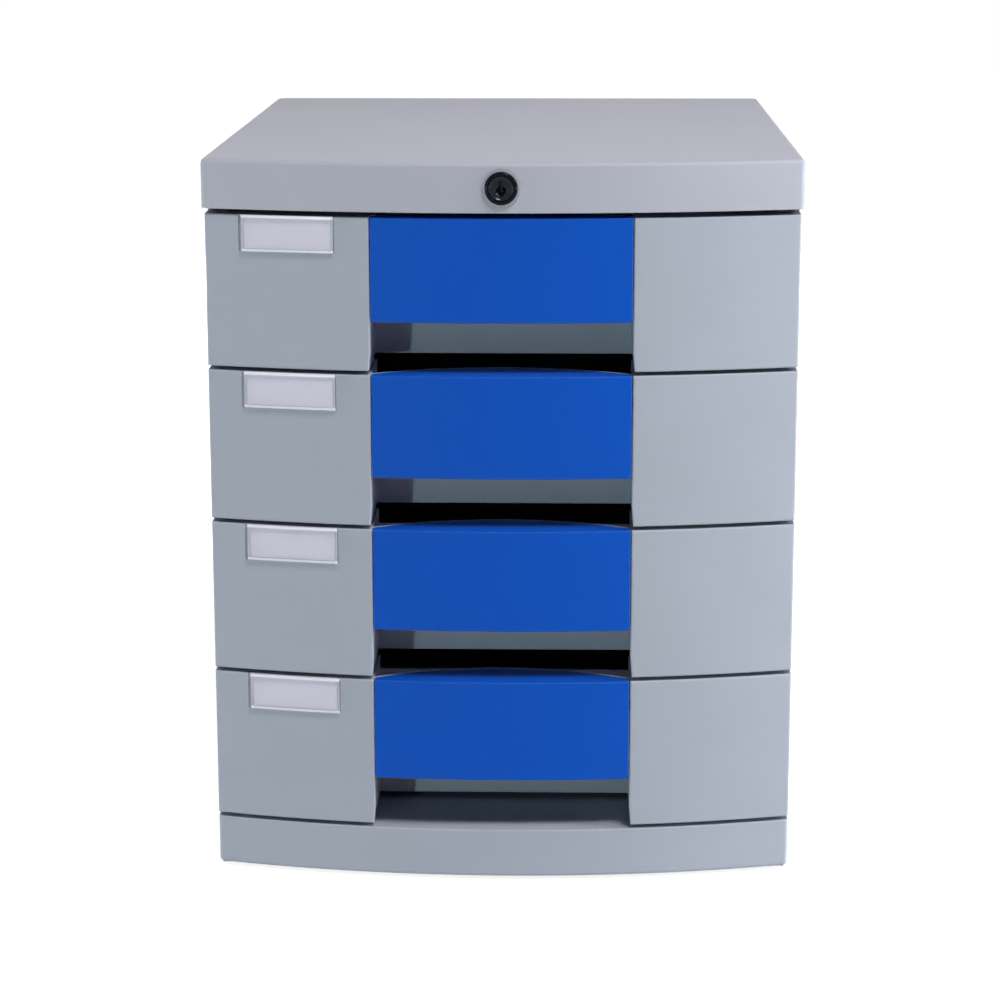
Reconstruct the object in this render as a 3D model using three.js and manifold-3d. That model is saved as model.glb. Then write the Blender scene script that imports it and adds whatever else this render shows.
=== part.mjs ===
// Desktop file drawer: a plastic cabinet with a bowed front, four sliding drawers and a central lock.
// Millimetres, +Z up, +X to the right of the front, which faces -Y. The origin is under the middle.
import * as THREE from "three";
import { mergeVertices } from "three/addons/utils/BufferGeometryUtils.js";
import Module from "manifold-3d";

const wasm = await Module();
wasm.setup();

// Cabinet: driving dimensions.
const bodyWidth = 300;
const coverDepth = 400;
const frontBow = 20;
const coverOverhang = 1.5;
const drawerCount = 4;
const drawerPitch = 79.7;
const baseHeight = 25.6;
const coverHeight = 26.6;
const footStand = 2;
const seamGap = 2;
const coverGap = 2.65;
const fit = 0.3;
const overrun = 1;

// Walls and edges of the mouldings.
const shellWall = 2.5;
const trayWall = 2;
const coverEdge = 2;
const baseEdge = 3;
const frontEdge = 1;
const rearCorner = 5;

// Facets of the round stretches.
const bowFacet = 16;
const deckFacet = 12;
const cornerFacet = 3;
const edgeSteps = 2;
const roundSides = 24;
const bossSides = 12;
const screwSides = 8;

// Side panels, their flanges and runners.
const flangeReach = 9.5;
const frontReturn = 12;
const frontReturnGap = 1.5;
const runnerReach = 8.5;
const runnerThick = 2.5;
const keeperThick = 2;
const keeperPlay = 0.6;
const runnerFrontSetback = 4;
const runnerRearSetback = 8;
const backInset = 2.5;
const backThick = 2.5;

// Drawer fronts: wings, recess and finger space.
const recessShare = 0.44;
const recessDepth = 51.5;
const recessFlare = 1.2;
const recessFlareHeight = 10;
const recessWallDrop = 7.7;
const bossRadius = 5;
const bossReach = 36;
const bossRise = 36;

// Handle inserts.
const handleRise = 26;
const handleWall = 2.5;
const handlePlay = 0.4;
const deckSide = 5;
const deckMiddle = 27;
const bridgeWall = 1.5;
const bridgeDrop = 10;
const lugWidth = 8;
const lugHeight = 4;
const lugReach = 1.9;
const lugDrop = 12;

// Label holders and cards.
const labelHeight = 18.5;
const labelWidth = 47;
const labelSideShare = 0.5135;
const labelGap = 2;
const labelPocket = 1.3;
const holderFace = 0.7;
const holderBack = 0.6;
const cardThick = 0.5;
const cardMargin = 1.5;
const cardPlay = 0.3;

// Trays.
const trayRise = 2.4;
const traySide = 13;
const trayRim = 70;
const rimThick = 2.5;
const rimPlay = 1;
const trayRearGap = 22.5;
const drawerTravel = 240;
const stopPlay = 0.5;
const stopTabThick = 4;
const stopTabHeight = 6;
const stopLugLength = 4;
const stopLugHeight = 5.5;
const stopLugSetback = 6;

// Catch plates and locking bar.
const catchRim = 60;
const catchThick = 2.5;
const catchReach = 9;
const catchHalf = 9;
const catchLip = 2.5;
const slotPlay = 0.5;
const toothHalf = 4.5;
const toothThick = 3;
const toothClearance = 1.5;
const toothArm = 3;
const barHalf = 7;
const barThick = 2;
const barPlay = 2;
const barTail = 18;
const barHead = 2.6;
const pinPlay = 0.5;

// Lock.
const bezelRadius = 9.25;
const bezelThick = 2.2;
const bezelEdge = 0.9;
const barrelRadius = 7.6;
const barrelLength = 24;
const plugRadius = 6.2;
const plugDish = 0.8;
const keywayWidth = 1.6;
const keywayHeight = 8;
const keywayDepth = 14;
const nutAcross = 17.4;
const nutThick = 4;
const tangHalf = 2.2;
const tangLength = 8;
const rodRadius = 3;
const rodCollarRadius = 5;
const rodCollarLength = 12;
const rodEndHalf = 2;
const crankThick = 3.5;
const crankRadius = 6;
const crankHubRadius = 4.6;
const pinRadius = 2;
const lockTurn = Math.PI / 2;

// Rod hangers and bosses under the cover.
const hangerThick = 2.5;
const hangerHalf = 9;
const hangerDrop = 6;
const hangerSetbackShares = [0.3, 0.88];
const coverBossRadius = 4.5;
const coverBossSetbackShares = [0.12, 0.9];

// Bar guides.
const guideHalf = 11;
const guideHeight = 10;
const guideRise = 30;
const guideWall = 1.7;
const pegRadius = 2;

// Screws.
const screwRadius = 1.75;
const screwHeadRadius = 3.5;
const screwHeadThick = 1.8;
const frontScrewLength = 12;
const caseScrewLength = 8;
const driveHalf = 1.6;
const driveWidth = 0.8;
const driveDepth = 0.9;
const backScrewEdge = 26;
const baseScrewSetbackShares = [0.14, 0.86];

// Feet.
const footRadius = 9;
const footPadRadius = 11;
const footSink = 2;
const footInset = 26;

// Places worked out from the sizes above.
const bodyHalf = bodyWidth / 2;
const recessHalf = bodyHalf * recessShare;
const bossOffset = recessHalf + bossReach;
const labelLeft = (bodyHalf - recessHalf - labelWidth) * labelSideShare - bodyHalf;
const labelRight = labelLeft + labelWidth;
const overallDepth = coverDepth + fit + bezelThick;
const coverRear = overallDepth / 2;
const coverFront = coverRear - coverDepth;
const bodyFront = coverFront + coverOverhang;
const bodyRear = coverRear - coverOverhang;
const bowRadius = (bodyHalf ** 2 + frontBow ** 2) / (2 * frontBow);
const bowCentre = bodyFront + bowRadius;
const baseBottom = footStand;
const baseTop = baseBottom + baseHeight;
const baseSeam = baseTop + seamGap / 2;
const coverSeam = baseSeam + drawerCount * drawerPitch;
const coverTop = coverSeam + coverHeight;
const coverBottom = coverSeam - seamGap / 2 + coverGap;
const panelInner = bodyHalf - shellWall;
const panelFront = bowY(bodyHalf) + frontReturn + frontReturnGap;
const backRear = bodyRear - backInset;
const backFront = backRear - backThick;
const recessBack = bodyFront + recessDepth;
const trayFront = recessBack + trayWall + fit;
const trayRear = bodyRear - trayRearGap;
const trayHalf = bodyHalf - traySide;
const lockHeight = (coverBottom + coverTop) / 2;
const barRear = backFront - guideWall - fit * 2 - barPlay;
const barFront = barRear - barThick;
const barTravel = 2 * crankRadius * Math.sin(lockTurn / 2);

// Height of the seam under a drawer, counted from the top drawer.
function seamUnder(level) {
  return baseSeam + (drawerCount - level) * drawerPitch;
}

// Depth of the bowed front at a distance from the middle, or of a face set in behind it.
function bowY(x, inset = 0) {
  return bowCentre - Math.sqrt((bowRadius - inset) ** 2 - x ** 2);
}

// Solids from three.js geometry.
function solid(geometry) {
  const bare = geometry.clone();
  bare.deleteAttribute("normal");
  bare.deleteAttribute("uv");
  const merged = mergeVertices(bare);
  const vertProperties = merged.attributes.position.array;
  const triVerts = new Uint32Array(merged.index.array);
  return new wasm.Manifold(new wasm.Mesh({ numProp: 3, vertProperties, triVerts }));
}

function geometryOf(body) {
  const { vertProperties, triVerts, numProp } = body.getMesh();
  const geometry = new THREE.BufferGeometry();
  const places = new THREE.BufferAttribute(new Float32Array(vertProperties), numProp);
  geometry.setAttribute("position", places);
  geometry.setIndex(new THREE.BufferAttribute(new Uint32Array(triVerts), 1));
  const faceted = geometry.toNonIndexed();
  faceted.computeVertexNormals();
  return faceted;
}

// A box between two corners.
function block([x0, y0, z0], [x1, y1, z1]) {
  const box = new THREE.BoxGeometry(x1 - x0, y1 - y0, z1 - z0);
  box.translate((x0 + x1) / 2, (y0 + y1) / 2, (z0 + z1) / 2);
  return solid(box);
}

// A plan outline raised between two heights.
function raise(outline, z0, z1) {
  const plate = new THREE.ExtrudeGeometry(outline, { depth: z1 - z0, bevelEnabled: false });
  plate.translate(0, 0, z0);
  return solid(plate);
}

// A plan outline raised between two heights, with both rims rounded.
function raiseRounded(outline, z0, z1, edge, bevelSegments = edgeSteps) {
  const plate = new THREE.ExtrudeGeometry(outline, {
    depth: z1 - z0 - 2 * edge,
    bevelEnabled: true,
    bevelThickness: edge,
    bevelSize: edge,
    bevelOffset: -edge,
    bevelSegments,
  });
  plate.translate(0, 0, z0 + edge);
  return solid(plate);
}

// An outline drawn in X and Z, running back between two depths.
function runBack(outline, y0, y1) {
  const plate = new THREE.ExtrudeGeometry(outline, { depth: y1 - y0, bevelEnabled: false });
  plate.rotateX(Math.PI / 2);
  plate.translate(0, y1, 0);
  return solid(plate);
}

// A round bar along Y.
function barAlongY(radius, x, z, y0, y1, sides = roundSides) {
  const bar = new THREE.CylinderGeometry(radius, radius, y1 - y0, sides);
  bar.translate(x, (y0 + y1) / 2, z);
  return solid(bar);
}

// A round bar upright.
function barUpright(radius, x, y, z0, z1, sides = roundSides) {
  const bar = new THREE.CylinderGeometry(radius, radius, z1 - z0, sides);
  bar.rotateX(Math.PI / 2);
  bar.translate(x, y, (z0 + z1) / 2);
  return solid(bar);
}

function joined(first, ...others) {
  return others.reduce((whole, next) => whole.add(next), first);
}

function without(first, ...others) {
  return others.reduce((whole, next) => whole.subtract(next), first);
}

// Points along an arc, in chords of about the given length. Angle zero points to +X.
function arc(centreX, centreY, radius, from, to, chord) {
  const steps = Math.ceil((Math.abs(to - from) * radius) / chord);
  const points = [];
  for (let step = 0; step <= steps; step += 1) {
    const angle = from + ((to - from) * step) / steps;
    points.push(new THREE.Vector2(centreX + radius * Math.cos(angle), centreY + radius * Math.sin(angle)));
  }
  return points;
}

// Points along the bow, or along a line set in behind it, from one side to the other.
function bowArc(x0, x1, inset) {
  const radius = bowRadius - inset;
  const from = Math.asin(x0 / radius) - Math.PI / 2;
  const to = Math.asin(x1 / radius) - Math.PI / 2;
  return arc(0, bowCentre, radius, from, to, bowFacet);
}

// Plan outline of the whole body, grown or shrunk all round; a flat stretch closes its rear.
function bodyPlan(grow, corner) {
  const half = bodyHalf + grow;
  const rear = bodyRear + grow;
  const right = arc(half - corner, rear - corner, corner, 0, Math.PI / 2, cornerFacet);
  const left = arc(corner - half, rear - corner, corner, Math.PI / 2, Math.PI, cornerFacet);
  return new THREE.Shape([...bowArc(-half, half, -grow), ...right, ...left]);
}

// Plan outline of a band that follows the bow, between two insets.
function bowBand(x0, x1, outer, inner) {
  return new THREE.Shape([...bowArc(x0, x1, outer), ...bowArc(x1, x0, inner)]);
}

// Plan outline from an inset bow back to a straight line.
function bowToLine(x0, x1, inset, y) {
  return new THREE.Shape([...bowArc(x0, x1, inset), new THREE.Vector2(x1, y), new THREE.Vector2(x0, y)]);
}

// The arc at the rear of the handle's deck, and of the bridge behind it.
const deckHalf = recessHalf - handlePlay;
const deckSideY = bowY(deckHalf) + deckSide;
const deckBulge = bodyFront + deckMiddle - deckSideY;
const deckRadius = (deckHalf ** 2 + deckBulge ** 2) / (2 * deckBulge);
const deckCentre = bodyFront + deckMiddle - deckRadius;

function deckArc(x0, x1, radius) {
  const from = Math.PI / 2 - Math.asin(x0 / radius);
  const to = Math.PI / 2 - Math.asin(x1 / radius);
  return arc(0, deckCentre, radius, from, to, deckFacet);
}

function deckPlan() {
  return new THREE.Shape([...bowArc(-deckHalf, deckHalf, 0), ...deckArc(deckHalf, -deckHalf, deckRadius)]);
}

function bridgePlan() {
  const inner = deckRadius + fit;
  const half = recessHalf + shellWall / 2;
  return new THREE.Shape([...deckArc(half, -half, inner + bridgeWall), ...deckArc(-half, half, inner)]);
}

// Screws: a pan head with a cross in it, and a plain shank. The head's underside is at the origin.
function screwBody(length) {
  const shank = barUpright(screwRadius, 0, 0, -length, screwHeadThick / 2, screwSides);
  const head = barUpright(screwHeadRadius, 0, 0, 0, screwHeadThick, screwSides);
  const low = screwHeadThick - driveDepth;
  const high = screwHeadThick + overrun;
  const across = block([-driveHalf, -driveWidth / 2, low], [driveHalf, driveWidth / 2, high]);
  const along = block([-driveWidth / 2, -driveHalf, low], [driveWidth / 2, driveHalf, high]);
  return without(joined(shank, head), across, along);
}

const screwHole = screwRadius + fit;
const screwSeat = fit;

// Materials.
function plastic(color, roughness) {
  return new THREE.MeshStandardMaterial({ color, roughness, metalness: 0 });
}

function metal(color, roughness) {
  return new THREE.MeshStandardMaterial({ color, roughness, metalness: 1 });
}

const greyPlastic = plastic(0xa9afbb, 0.5);
const bluePlastic = plastic(0x114fb4, 0.45);
const nylon = plastic(0xd8d8d2, 0.5);
const card = plastic(0xc6c4d0, 0.8);
const rubber = plastic(0x1c1c1e, 0.9);
const chrome = metal(0xd4d6da, 0.15);
const darkMetal = metal(0x16181c, 0.35);
const steel = metal(0xb4b6ba, 0.4);
const clearPlastic = new THREE.MeshStandardMaterial({
  color: 0xe6e6f4,
  roughness: 0.2,
  metalness: 0,
  transparent: true,
  opacity: 0.35,
});

const cabinet = new THREE.Group();

function place(parent, name, body, material) {
  const mesh = new THREE.Mesh(geometryOf(body), material);
  mesh.name = name;
  parent.add(mesh);
  return mesh;
}

// Top cover.
const coverPlateBottom = coverTop - shellWall;
const pilotTop = coverBottom + caseScrewLength;

function hangerYs() {
  return hangerSetbackShares.map((share) => bodyFront + share * coverDepth);
}

function flangeScrewX() {
  return panelInner - flangeReach / 2;
}

function coverBossYs() {
  return coverBossSetbackShares.map((share) => panelFront + share * (bodyRear - panelFront));
}

function topCover() {
  const trim = coverEdge + overrun;
  const round = raiseRounded(bodyPlan(coverOverhang, rearCorner), coverBottom - trim, coverTop, coverEdge);
  const reach = overallDepth;
  const keep = block([-reach, -reach, coverBottom], [reach, reach, coverTop + overrun]);
  const hollow = raise(
    bodyPlan(coverOverhang - shellWall, rearCorner - shellWall),
    coverBottom - overrun,
    coverPlateBottom,
  );
  const lockHole = barAlongY(
    barrelRadius + fit,
    0,
    lockHeight,
    coverFront - overrun,
    coverFront + shellWall * 2,
  );
  let shell = round.intersect(keep).subtract(hollow);
  for (const y of hangerYs()) {
    const low = lockHeight - hangerDrop;
    const hanger = block(
      [-hangerHalf, y - hangerThick / 2, low],
      [hangerHalf, y + hangerThick / 2, coverPlateBottom + shellWall / 2],
    );
    const hole = barAlongY(rodRadius + fit, 0, lockHeight, y - hangerThick, y + hangerThick);
    shell = shell.add(hanger).subtract(hole);
  }
  for (const side of [-1, 1]) {
    for (const y of coverBossYs()) {
      const x = side * flangeScrewX();
      const bossTop = coverPlateBottom + shellWall / 2;
      const boss = barUpright(coverBossRadius, x, y, coverBottom, bossTop, bossSides);
      const pilot = barUpright(screwHole, x, y, coverBottom - overrun, pilotTop, screwSides);
      shell = shell.add(boss).subtract(pilot);
    }
  }
  return shell.subtract(lockHole);
}

// Base.
const basePlateBottom = baseTop - shellWall;

function footPlaces() {
  const places = [];
  for (const x of [footInset - bodyHalf, bodyHalf - footInset]) {
    for (const y of [bowY(bodyHalf) + footInset, bodyRear - footInset]) {
      places.push([x, y]);
    }
  }
  return places;
}

function baseScrewYs() {
  return baseScrewSetbackShares.map((share) => panelFront + share * (bodyRear - panelFront));
}

function baseShell() {
  const trim = baseEdge + overrun;
  const round = raiseRounded(bodyPlan(0, rearCorner), baseBottom, baseTop + trim, baseEdge);
  const reach = overallDepth;
  const keep = block([-reach, -reach, baseBottom - overrun], [reach, reach, baseTop]);
  const hollow = raise(
    bodyPlan(-shellWall, rearCorner - shellWall),
    baseBottom - overrun,
    basePlateBottom,
  );
  let shell = round.intersect(keep).subtract(hollow);
  for (const [x, y] of footPlaces()) {
    const pad = barUpright(footPadRadius, x, y, baseBottom, basePlateBottom + shellWall / 2);
    const socket = barUpright(footRadius + fit, x, y, baseBottom - overrun, baseBottom + footSink);
    shell = shell.add(pad).subtract(socket);
  }
  for (const side of [-1, 1]) {
    for (const y of baseScrewYs()) {
      const x = side * flangeScrewX();
      const hole = barUpright(screwHole, x, y, basePlateBottom - overrun, baseTop + overrun, screwSides);
      shell = shell.subtract(hole);
    }
  }
  return shell;
}

function foot(x, y) {
  return barUpright(footRadius, x, y, 0, footStand + footSink - fit);
}

// Side panels. Drawn for the right side and turned over for the left.
const panelBottom = baseTop + fit;
const panelTop = coverBottom - fit;
const backFlangeRear = backFront - fit;
const runnerFront = panelFront + runnerFrontSetback;
const runnerRear = backFlangeRear - shellWall - runnerRearSetback;
const lugFront = trayRear - stopLugSetback - stopLugLength;
const stopRear = lugFront - drawerTravel - stopPlay;

// The runner under the tray's rim, the keeper over it and the stop tab on the keeper.
function runner(level) {
  const seam = seamUnder(level);
  const rimTop = seam + trayRim;
  const runnerTop = rimTop - rimThick - fit;
  const keeperBottom = rimTop + keeperPlay;
  const low = block(
    [panelInner - runnerReach, runnerFront, runnerTop - runnerThick],
    [panelInner + shellWall / 2, runnerRear, runnerTop],
  );
  const high = block(
    [panelInner - runnerReach, runnerFront, keeperBottom],
    [panelInner + shellWall / 2, runnerRear, keeperBottom + keeperThick],
  );
  const tab = block(
    [trayHalf - trayWall - fit, stopRear - stopTabThick, keeperBottom],
    [panelInner + shellWall / 2, stopRear, keeperBottom + stopTabHeight],
  );
  return joined(low, high, tab);
}

function backScrewZs() {
  return [panelBottom + backScrewEdge, panelTop - backScrewEdge];
}

function sidePanel(side) {
  const plate = block([panelInner, panelFront, panelBottom], [bodyHalf, bodyRear, panelTop]);
  const inner = panelInner - flangeReach;
  const into = panelInner + shellWall / 2;
  const bottom = block([inner, panelFront, panelBottom], [into, backFlangeRear, panelBottom + shellWall]);
  const top = block([inner, panelFront, panelTop - shellWall], [into, backFlangeRear, panelTop]);
  const rear = block([inner, backFlangeRear - shellWall, panelBottom], [into, backFlangeRear, panelTop]);
  let panel = joined(plate, bottom, top, rear);
  for (let level = 1; level <= drawerCount; level += 1) {
    panel = panel.add(runner(level));
  }
  const x = flangeScrewX();
  for (const y of baseScrewYs()) {
    panel = panel.subtract(
      barUpright(screwHole, x, y, panelBottom - overrun, panelBottom + shellWall + overrun, screwSides),
    );
  }
  for (const y of coverBossYs()) {
    panel = panel.subtract(
      barUpright(screwHole, x, y, panelTop - shellWall - overrun, panelTop + overrun, screwSides),
    );
  }
  for (const z of backScrewZs()) {
    panel = panel.subtract(
      barAlongY(screwHole, x, z, backFlangeRear - shellWall - overrun, backFront, screwSides),
    );
  }
  return side > 0 ? panel : panel.mirror([1, 0, 0]);
}

// Back panel.
function backPanel() {
  const half = panelInner - fit;
  let panel = block([-half, backFront, panelBottom], [half, backRear, panelTop]);
  for (const side of [-1, 1]) {
    for (const z of backScrewZs()) {
      const x = side * flangeScrewX();
      panel = panel.subtract(
        barAlongY(screwHole, x, z, backFront - overrun, backRear + overrun, screwSides),
      );
    }
  }
  for (const level of guideLevels()) {
    for (const x of pegXs()) {
      const z = seamUnder(level) + guideRise + guideHeight / 2;
      panel = panel.subtract(
        barAlongY(pegRadius + fit, x, z, backFront - overrun, backRear + overrun, screwSides),
      );
    }
  }
  return panel;
}

// Bar guides: a loop round the locking bar, with two pegs through the back panel.
const guideFront = barFront - fit - guideWall;
const guideRear = backFront - fit;

function guideLevels() {
  return [1, drawerCount];
}

function pegXs() {
  const x = (barHalf + fit + guideHalf + pegRadius) / 2;
  return [-x, x];
}

function barGuide(level) {
  const low = seamUnder(level) + guideRise;
  const half = guideHalf + pegRadius;
  const loop = block([-half, guideFront, low], [half, guideRear, low + guideHeight]);
  const way = block(
    [-barHalf - fit, barFront - fit, low - overrun],
    [barHalf + fit, barRear + fit, low + guideHeight + overrun],
  );
  let guide = loop.subtract(way);
  for (const x of pegXs()) {
    guide = guide.add(
      barAlongY(pegRadius, x, low + guideHeight / 2, guideRear - overrun, backRear, screwSides),
    );
  }
  return guide;
}

// Drawer fronts. Heights are above the seam under the drawer.
const frontBottom = seamGap / 2;
const frontTop = drawerPitch - seamGap / 2;
const wingBack = bowY(bodyHalf) + frontReturn;

function wing(side) {
  const outer = bowToLine(recessHalf, bodyHalf, 0, wingBack);
  const hollow = bowToLine(recessHalf + shellWall, panelInner, shellWall, wingBack + overrun);
  const body = raiseRounded(outer, frontBottom, frontTop, frontEdge);
  const pocket = raise(hollow, frontBottom + shellWall, frontTop - shellWall);
  const bossFront = bowY(bossOffset, shellWall / 2);
  const boss = barAlongY(bossRadius, bossOffset, bossRise, bossFront, trayFront - fit, bossSides);
  const cheek = block(
    [recessHalf, bowY(recessHalf, frontEdge), frontBottom + trayRise / 2],
    [recessHalf + shellWall, recessBack + trayWall, frontTop],
  );
  const pilotFront = trayFront + trayWall - frontScrewLength - fit;
  const pilot = barAlongY(screwHole, bossOffset, bossRise, pilotFront, trayFront, screwSides);
  const half = without(body, pocket).add(boss).add(cheek).subtract(pilot);
  return side > 0 ? half : half.mirror([1, 0, 0]);
}

// The lower corners of the recess widen slightly.
function flare() {
  const outline = new THREE.Shape();
  const widest = recessHalf + recessFlare;
  outline.moveTo(-widest, frontBottom - overrun);
  outline.lineTo(widest, frontBottom - overrun);
  outline.lineTo(widest, frontBottom);
  outline.lineTo(recessHalf, frontBottom + recessFlareHeight);
  outline.lineTo(-recessHalf, frontBottom + recessFlareHeight);
  outline.lineTo(-widest, frontBottom);
  outline.closePath();
  return runBack(outline, bodyFront - overrun, recessBack);
}

function labelPocketCut() {
  const left = labelLeft - fit - labelGap;
  const right = labelRight + fit;
  const low = frontTop - labelHeight - fit;
  return raise(bowBand(left, right, -overrun, labelPocket), low, frontTop + overrun);
}

function drawerFront() {
  const backWall = block(
    [-recessHalf - shellWall, recessBack, trayRise],
    [recessHalf + shellWall, recessBack + trayWall, frontTop - recessWallDrop],
  );
  const bridge = raise(bridgePlan(), frontTop - bridgeDrop, frontTop);
  const lugHole = block(
    [-recessHalf - lugReach - fit, lugFrontY() - fit, lugBottom() - fit],
    [recessHalf + lugReach + fit, lugFrontY() + lugWidth + fit, lugBottom() + lugHeight + fit],
  );
  const front = joined(wing(1), wing(-1), backWall, bridge);
  return without(front, flare(), labelPocketCut(), lugHole);
}

// Handle inserts: a bowed panel, a lens-shaped deck and a lug at each end.
function lugFrontY() {
  return bowY(recessHalf, handleWall) - handleWall / 2;
}

function lugBottom() {
  return frontTop - lugDrop - lugHeight;
}

function handle() {
  const skin = bowBand(-deckHalf, deckHalf, 0, handleWall);
  const panel = raiseRounded(skin, handleRise, frontTop, frontEdge / 2, 1);
  const deck = raise(deckPlan(), frontTop - handleWall, frontTop - frontEdge / 2);
  const into = handleWall;
  let insert = panel.add(deck);
  for (const side of [-1, 1]) {
    const tip = side * (recessHalf + lugReach);
    const root = side * (deckHalf - into);
    insert = insert.add(
      block(
        [Math.min(tip, root), lugFrontY(), lugBottom()],
        [Math.max(tip, root), lugFrontY() + lugWidth, lugBottom() + lugHeight],
      ),
    );
  }
  return insert;
}

// Label holders follow the bow, and are open at the top.
const holderDepth = holderFace + cardThick + 2 * cardPlay + holderBack;
const holderInset = labelPocket - fit;

function labelHolder() {
  const low = frontTop - labelHeight;
  const outside = holderInset - holderDepth;
  const body = raise(bowBand(labelLeft, labelRight, outside, holderInset), low, frontTop);
  const slot = raise(
    bowBand(
      labelLeft + cardMargin - cardPlay,
      labelRight - cardMargin + cardPlay,
      outside + holderFace,
      holderInset - holderBack,
    ),
    low + cardMargin - cardPlay,
    frontTop + overrun,
  );
  return body.subtract(slot);
}

function labelCard() {
  const left = labelLeft + cardMargin;
  const right = labelRight - cardMargin;
  const outside = holderInset - holderDepth + holderFace + cardPlay;
  const low = frontTop - labelHeight + cardMargin;
  return raise(bowBand(left, right, outside, outside + cardThick), low, frontTop - cardPlay);
}

// Trays.
function tray() {
  const floor = trayRise;
  const outer = block([-trayHalf, trayFront, floor], [trayHalf, trayRear, trayRim]);
  const inner = block(
    [trayWall - trayHalf, trayFront + trayWall, floor + trayWall],
    [trayHalf - trayWall, trayRear - trayWall, trayRim + overrun],
  );
  const rimHalf = panelInner - rimPlay;
  let body = outer;
  for (const side of [-1, 1]) {
    const rim = [side * (trayHalf - trayWall / 2), side * rimHalf].sort((a, b) => a - b);
    body = body.add(block([rim[0], trayFront, trayRim - rimThick], [rim[1], trayRear, trayRim]));
  }
  body = body.subtract(inner);
  const lugRear = lugFront + stopLugLength;
  const lugTop = trayRim + stopLugHeight;
  const wallRear = trayFront + trayWall + overrun;
  for (const side of [-1, 1]) {
    const lug = [side * (trayHalf - trayWall), side * trayHalf].sort((a, b) => a - b);
    body = body.add(block([lug[0], lugFront, trayRim - rimThick], [lug[1], lugRear, lugTop]));
    body = body.subtract(
      barAlongY(screwHole, side * bossOffset, bossRise, trayFront - overrun, wallRear, screwSides),
    );
  }
  const slotFront = trayRear + catchLip;
  const slotRear = trayRear + catchReach - catchLip;
  const plate = block(
    [-catchHalf, trayRear - trayWall / 2, catchRim - catchThick],
    [catchHalf, trayRear + catchReach, catchRim],
  );
  const slot = block(
    [-toothHalf - slotPlay, slotFront, catchRim - catchThick - overrun],
    [toothHalf + slotPlay, slotRear, catchRim + overrun],
  );
  return body.add(plate).subtract(slot);
}

// Lock housing: bezel, barrel and bore.
const bezelBack = coverFront - fit;
const bezelFront = bezelBack - bezelThick;
const barrelRear = coverFront + barrelLength;

function lockHousing() {
  const bore = plugRadius + fit;
  const outline = [
    [bore, bezelFront + bezelEdge / 2],
    [bore + bezelEdge / 2, bezelFront],
    [bezelRadius - bezelEdge, bezelFront],
    [bezelRadius, bezelFront + bezelEdge],
    [bezelRadius, bezelBack],
    [barrelRadius, bezelBack],
    [barrelRadius, barrelRear],
    [bore, barrelRear],
    [bore, bezelFront + bezelEdge / 2],
  ];
  const profile = outline.map(([radius, y]) => new THREE.Vector2(radius, y));
  const ring = new THREE.LatheGeometry(profile, roundSides);
  ring.translate(0, 0, lockHeight);
  return solid(ring);
}

function lockPlug() {
  const front = bezelFront + bezelEdge / 2;
  const outline = [
    [0, front + plugDish],
    [plugRadius - plugDish, front],
    [plugRadius, front],
    [plugRadius, barrelRear + fit],
    [0, barrelRear + fit],
  ];
  const profile = outline.map(([radius, y]) => new THREE.Vector2(radius, y));
  const body = new THREE.LatheGeometry(profile, roundSides);
  body.translate(0, 0, lockHeight);
  const keyway = block(
    [-keywayWidth / 2, front - overrun, lockHeight - keywayHeight / 2],
    [keywayWidth / 2, front + keywayDepth, lockHeight + keywayHeight / 2],
  );
  const tang = block(
    [-tangHalf, barrelRear, lockHeight - tangHalf],
    [tangHalf, barrelRear + fit + tangLength, lockHeight + tangHalf],
  );
  return solid(body).add(tang).subtract(keyway);
}

function lockNut() {
  const corner = nutAcross / 2 / Math.cos(Math.PI / 6);
  const y0 = coverFront + shellWall + fit;
  const hexSides = 6;
  const hex = new THREE.CylinderGeometry(corner, corner, nutThick, hexSides, 1, false, Math.PI / hexSides);
  hex.translate(0, y0 + nutThick / 2, lockHeight);
  const hole = barAlongY(barrelRadius + fit, 0, lockHeight, y0 - overrun, y0 + nutThick + overrun);
  return solid(hex).subtract(hole);
}

// Lock rod: a collar with a square socket at the front, and a square end for the crank.
const rodFront = barrelRear + 2 * fit;
const crankFront = guideFront - pinPlay * 2 - crankThick;

function lockRod() {
  const collar = barAlongY(rodCollarRadius, 0, lockHeight, rodFront, rodFront + rodCollarLength);
  const shaft = barAlongY(rodRadius, 0, lockHeight, rodFront, crankFront - fit);
  const end = block(
    [-rodEndHalf, crankFront - fit - overrun, lockHeight - rodEndHalf],
    [rodEndHalf, crankFront + crankThick, lockHeight + rodEndHalf],
  );
  const half = tangHalf + fit;
  const socket = block(
    [-half, rodFront - overrun, lockHeight - half],
    [half, rodFront + tangLength + fit, lockHeight + half],
  );
  return joined(collar, shaft, end).subtract(socket);
}

// Crank: hub, arm and pin. Its pin starts to the upper right of the rod and ends to the lower right.
const pinX = crankRadius * Math.cos(lockTurn / 2);
const pinZ = lockHeight + crankRadius * Math.sin(lockTurn / 2);

function lockCrank() {
  const rear = crankFront + crankThick;
  const hub = barAlongY(crankHubRadius, 0, lockHeight, crankFront, rear);
  const tip = barAlongY(pinRadius * 2, pinX, pinZ, crankFront, rear);
  const pin = barAlongY(pinRadius, pinX, pinZ, rear - overrun, barRear + fit);
  const half = rodEndHalf + fit;
  const hole = block(
    [-half, crankFront - overrun, lockHeight - half],
    [half, rear + overrun, lockHeight + half],
  );
  return joined(hub, tip, pin).subtract(hole);
}

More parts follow.
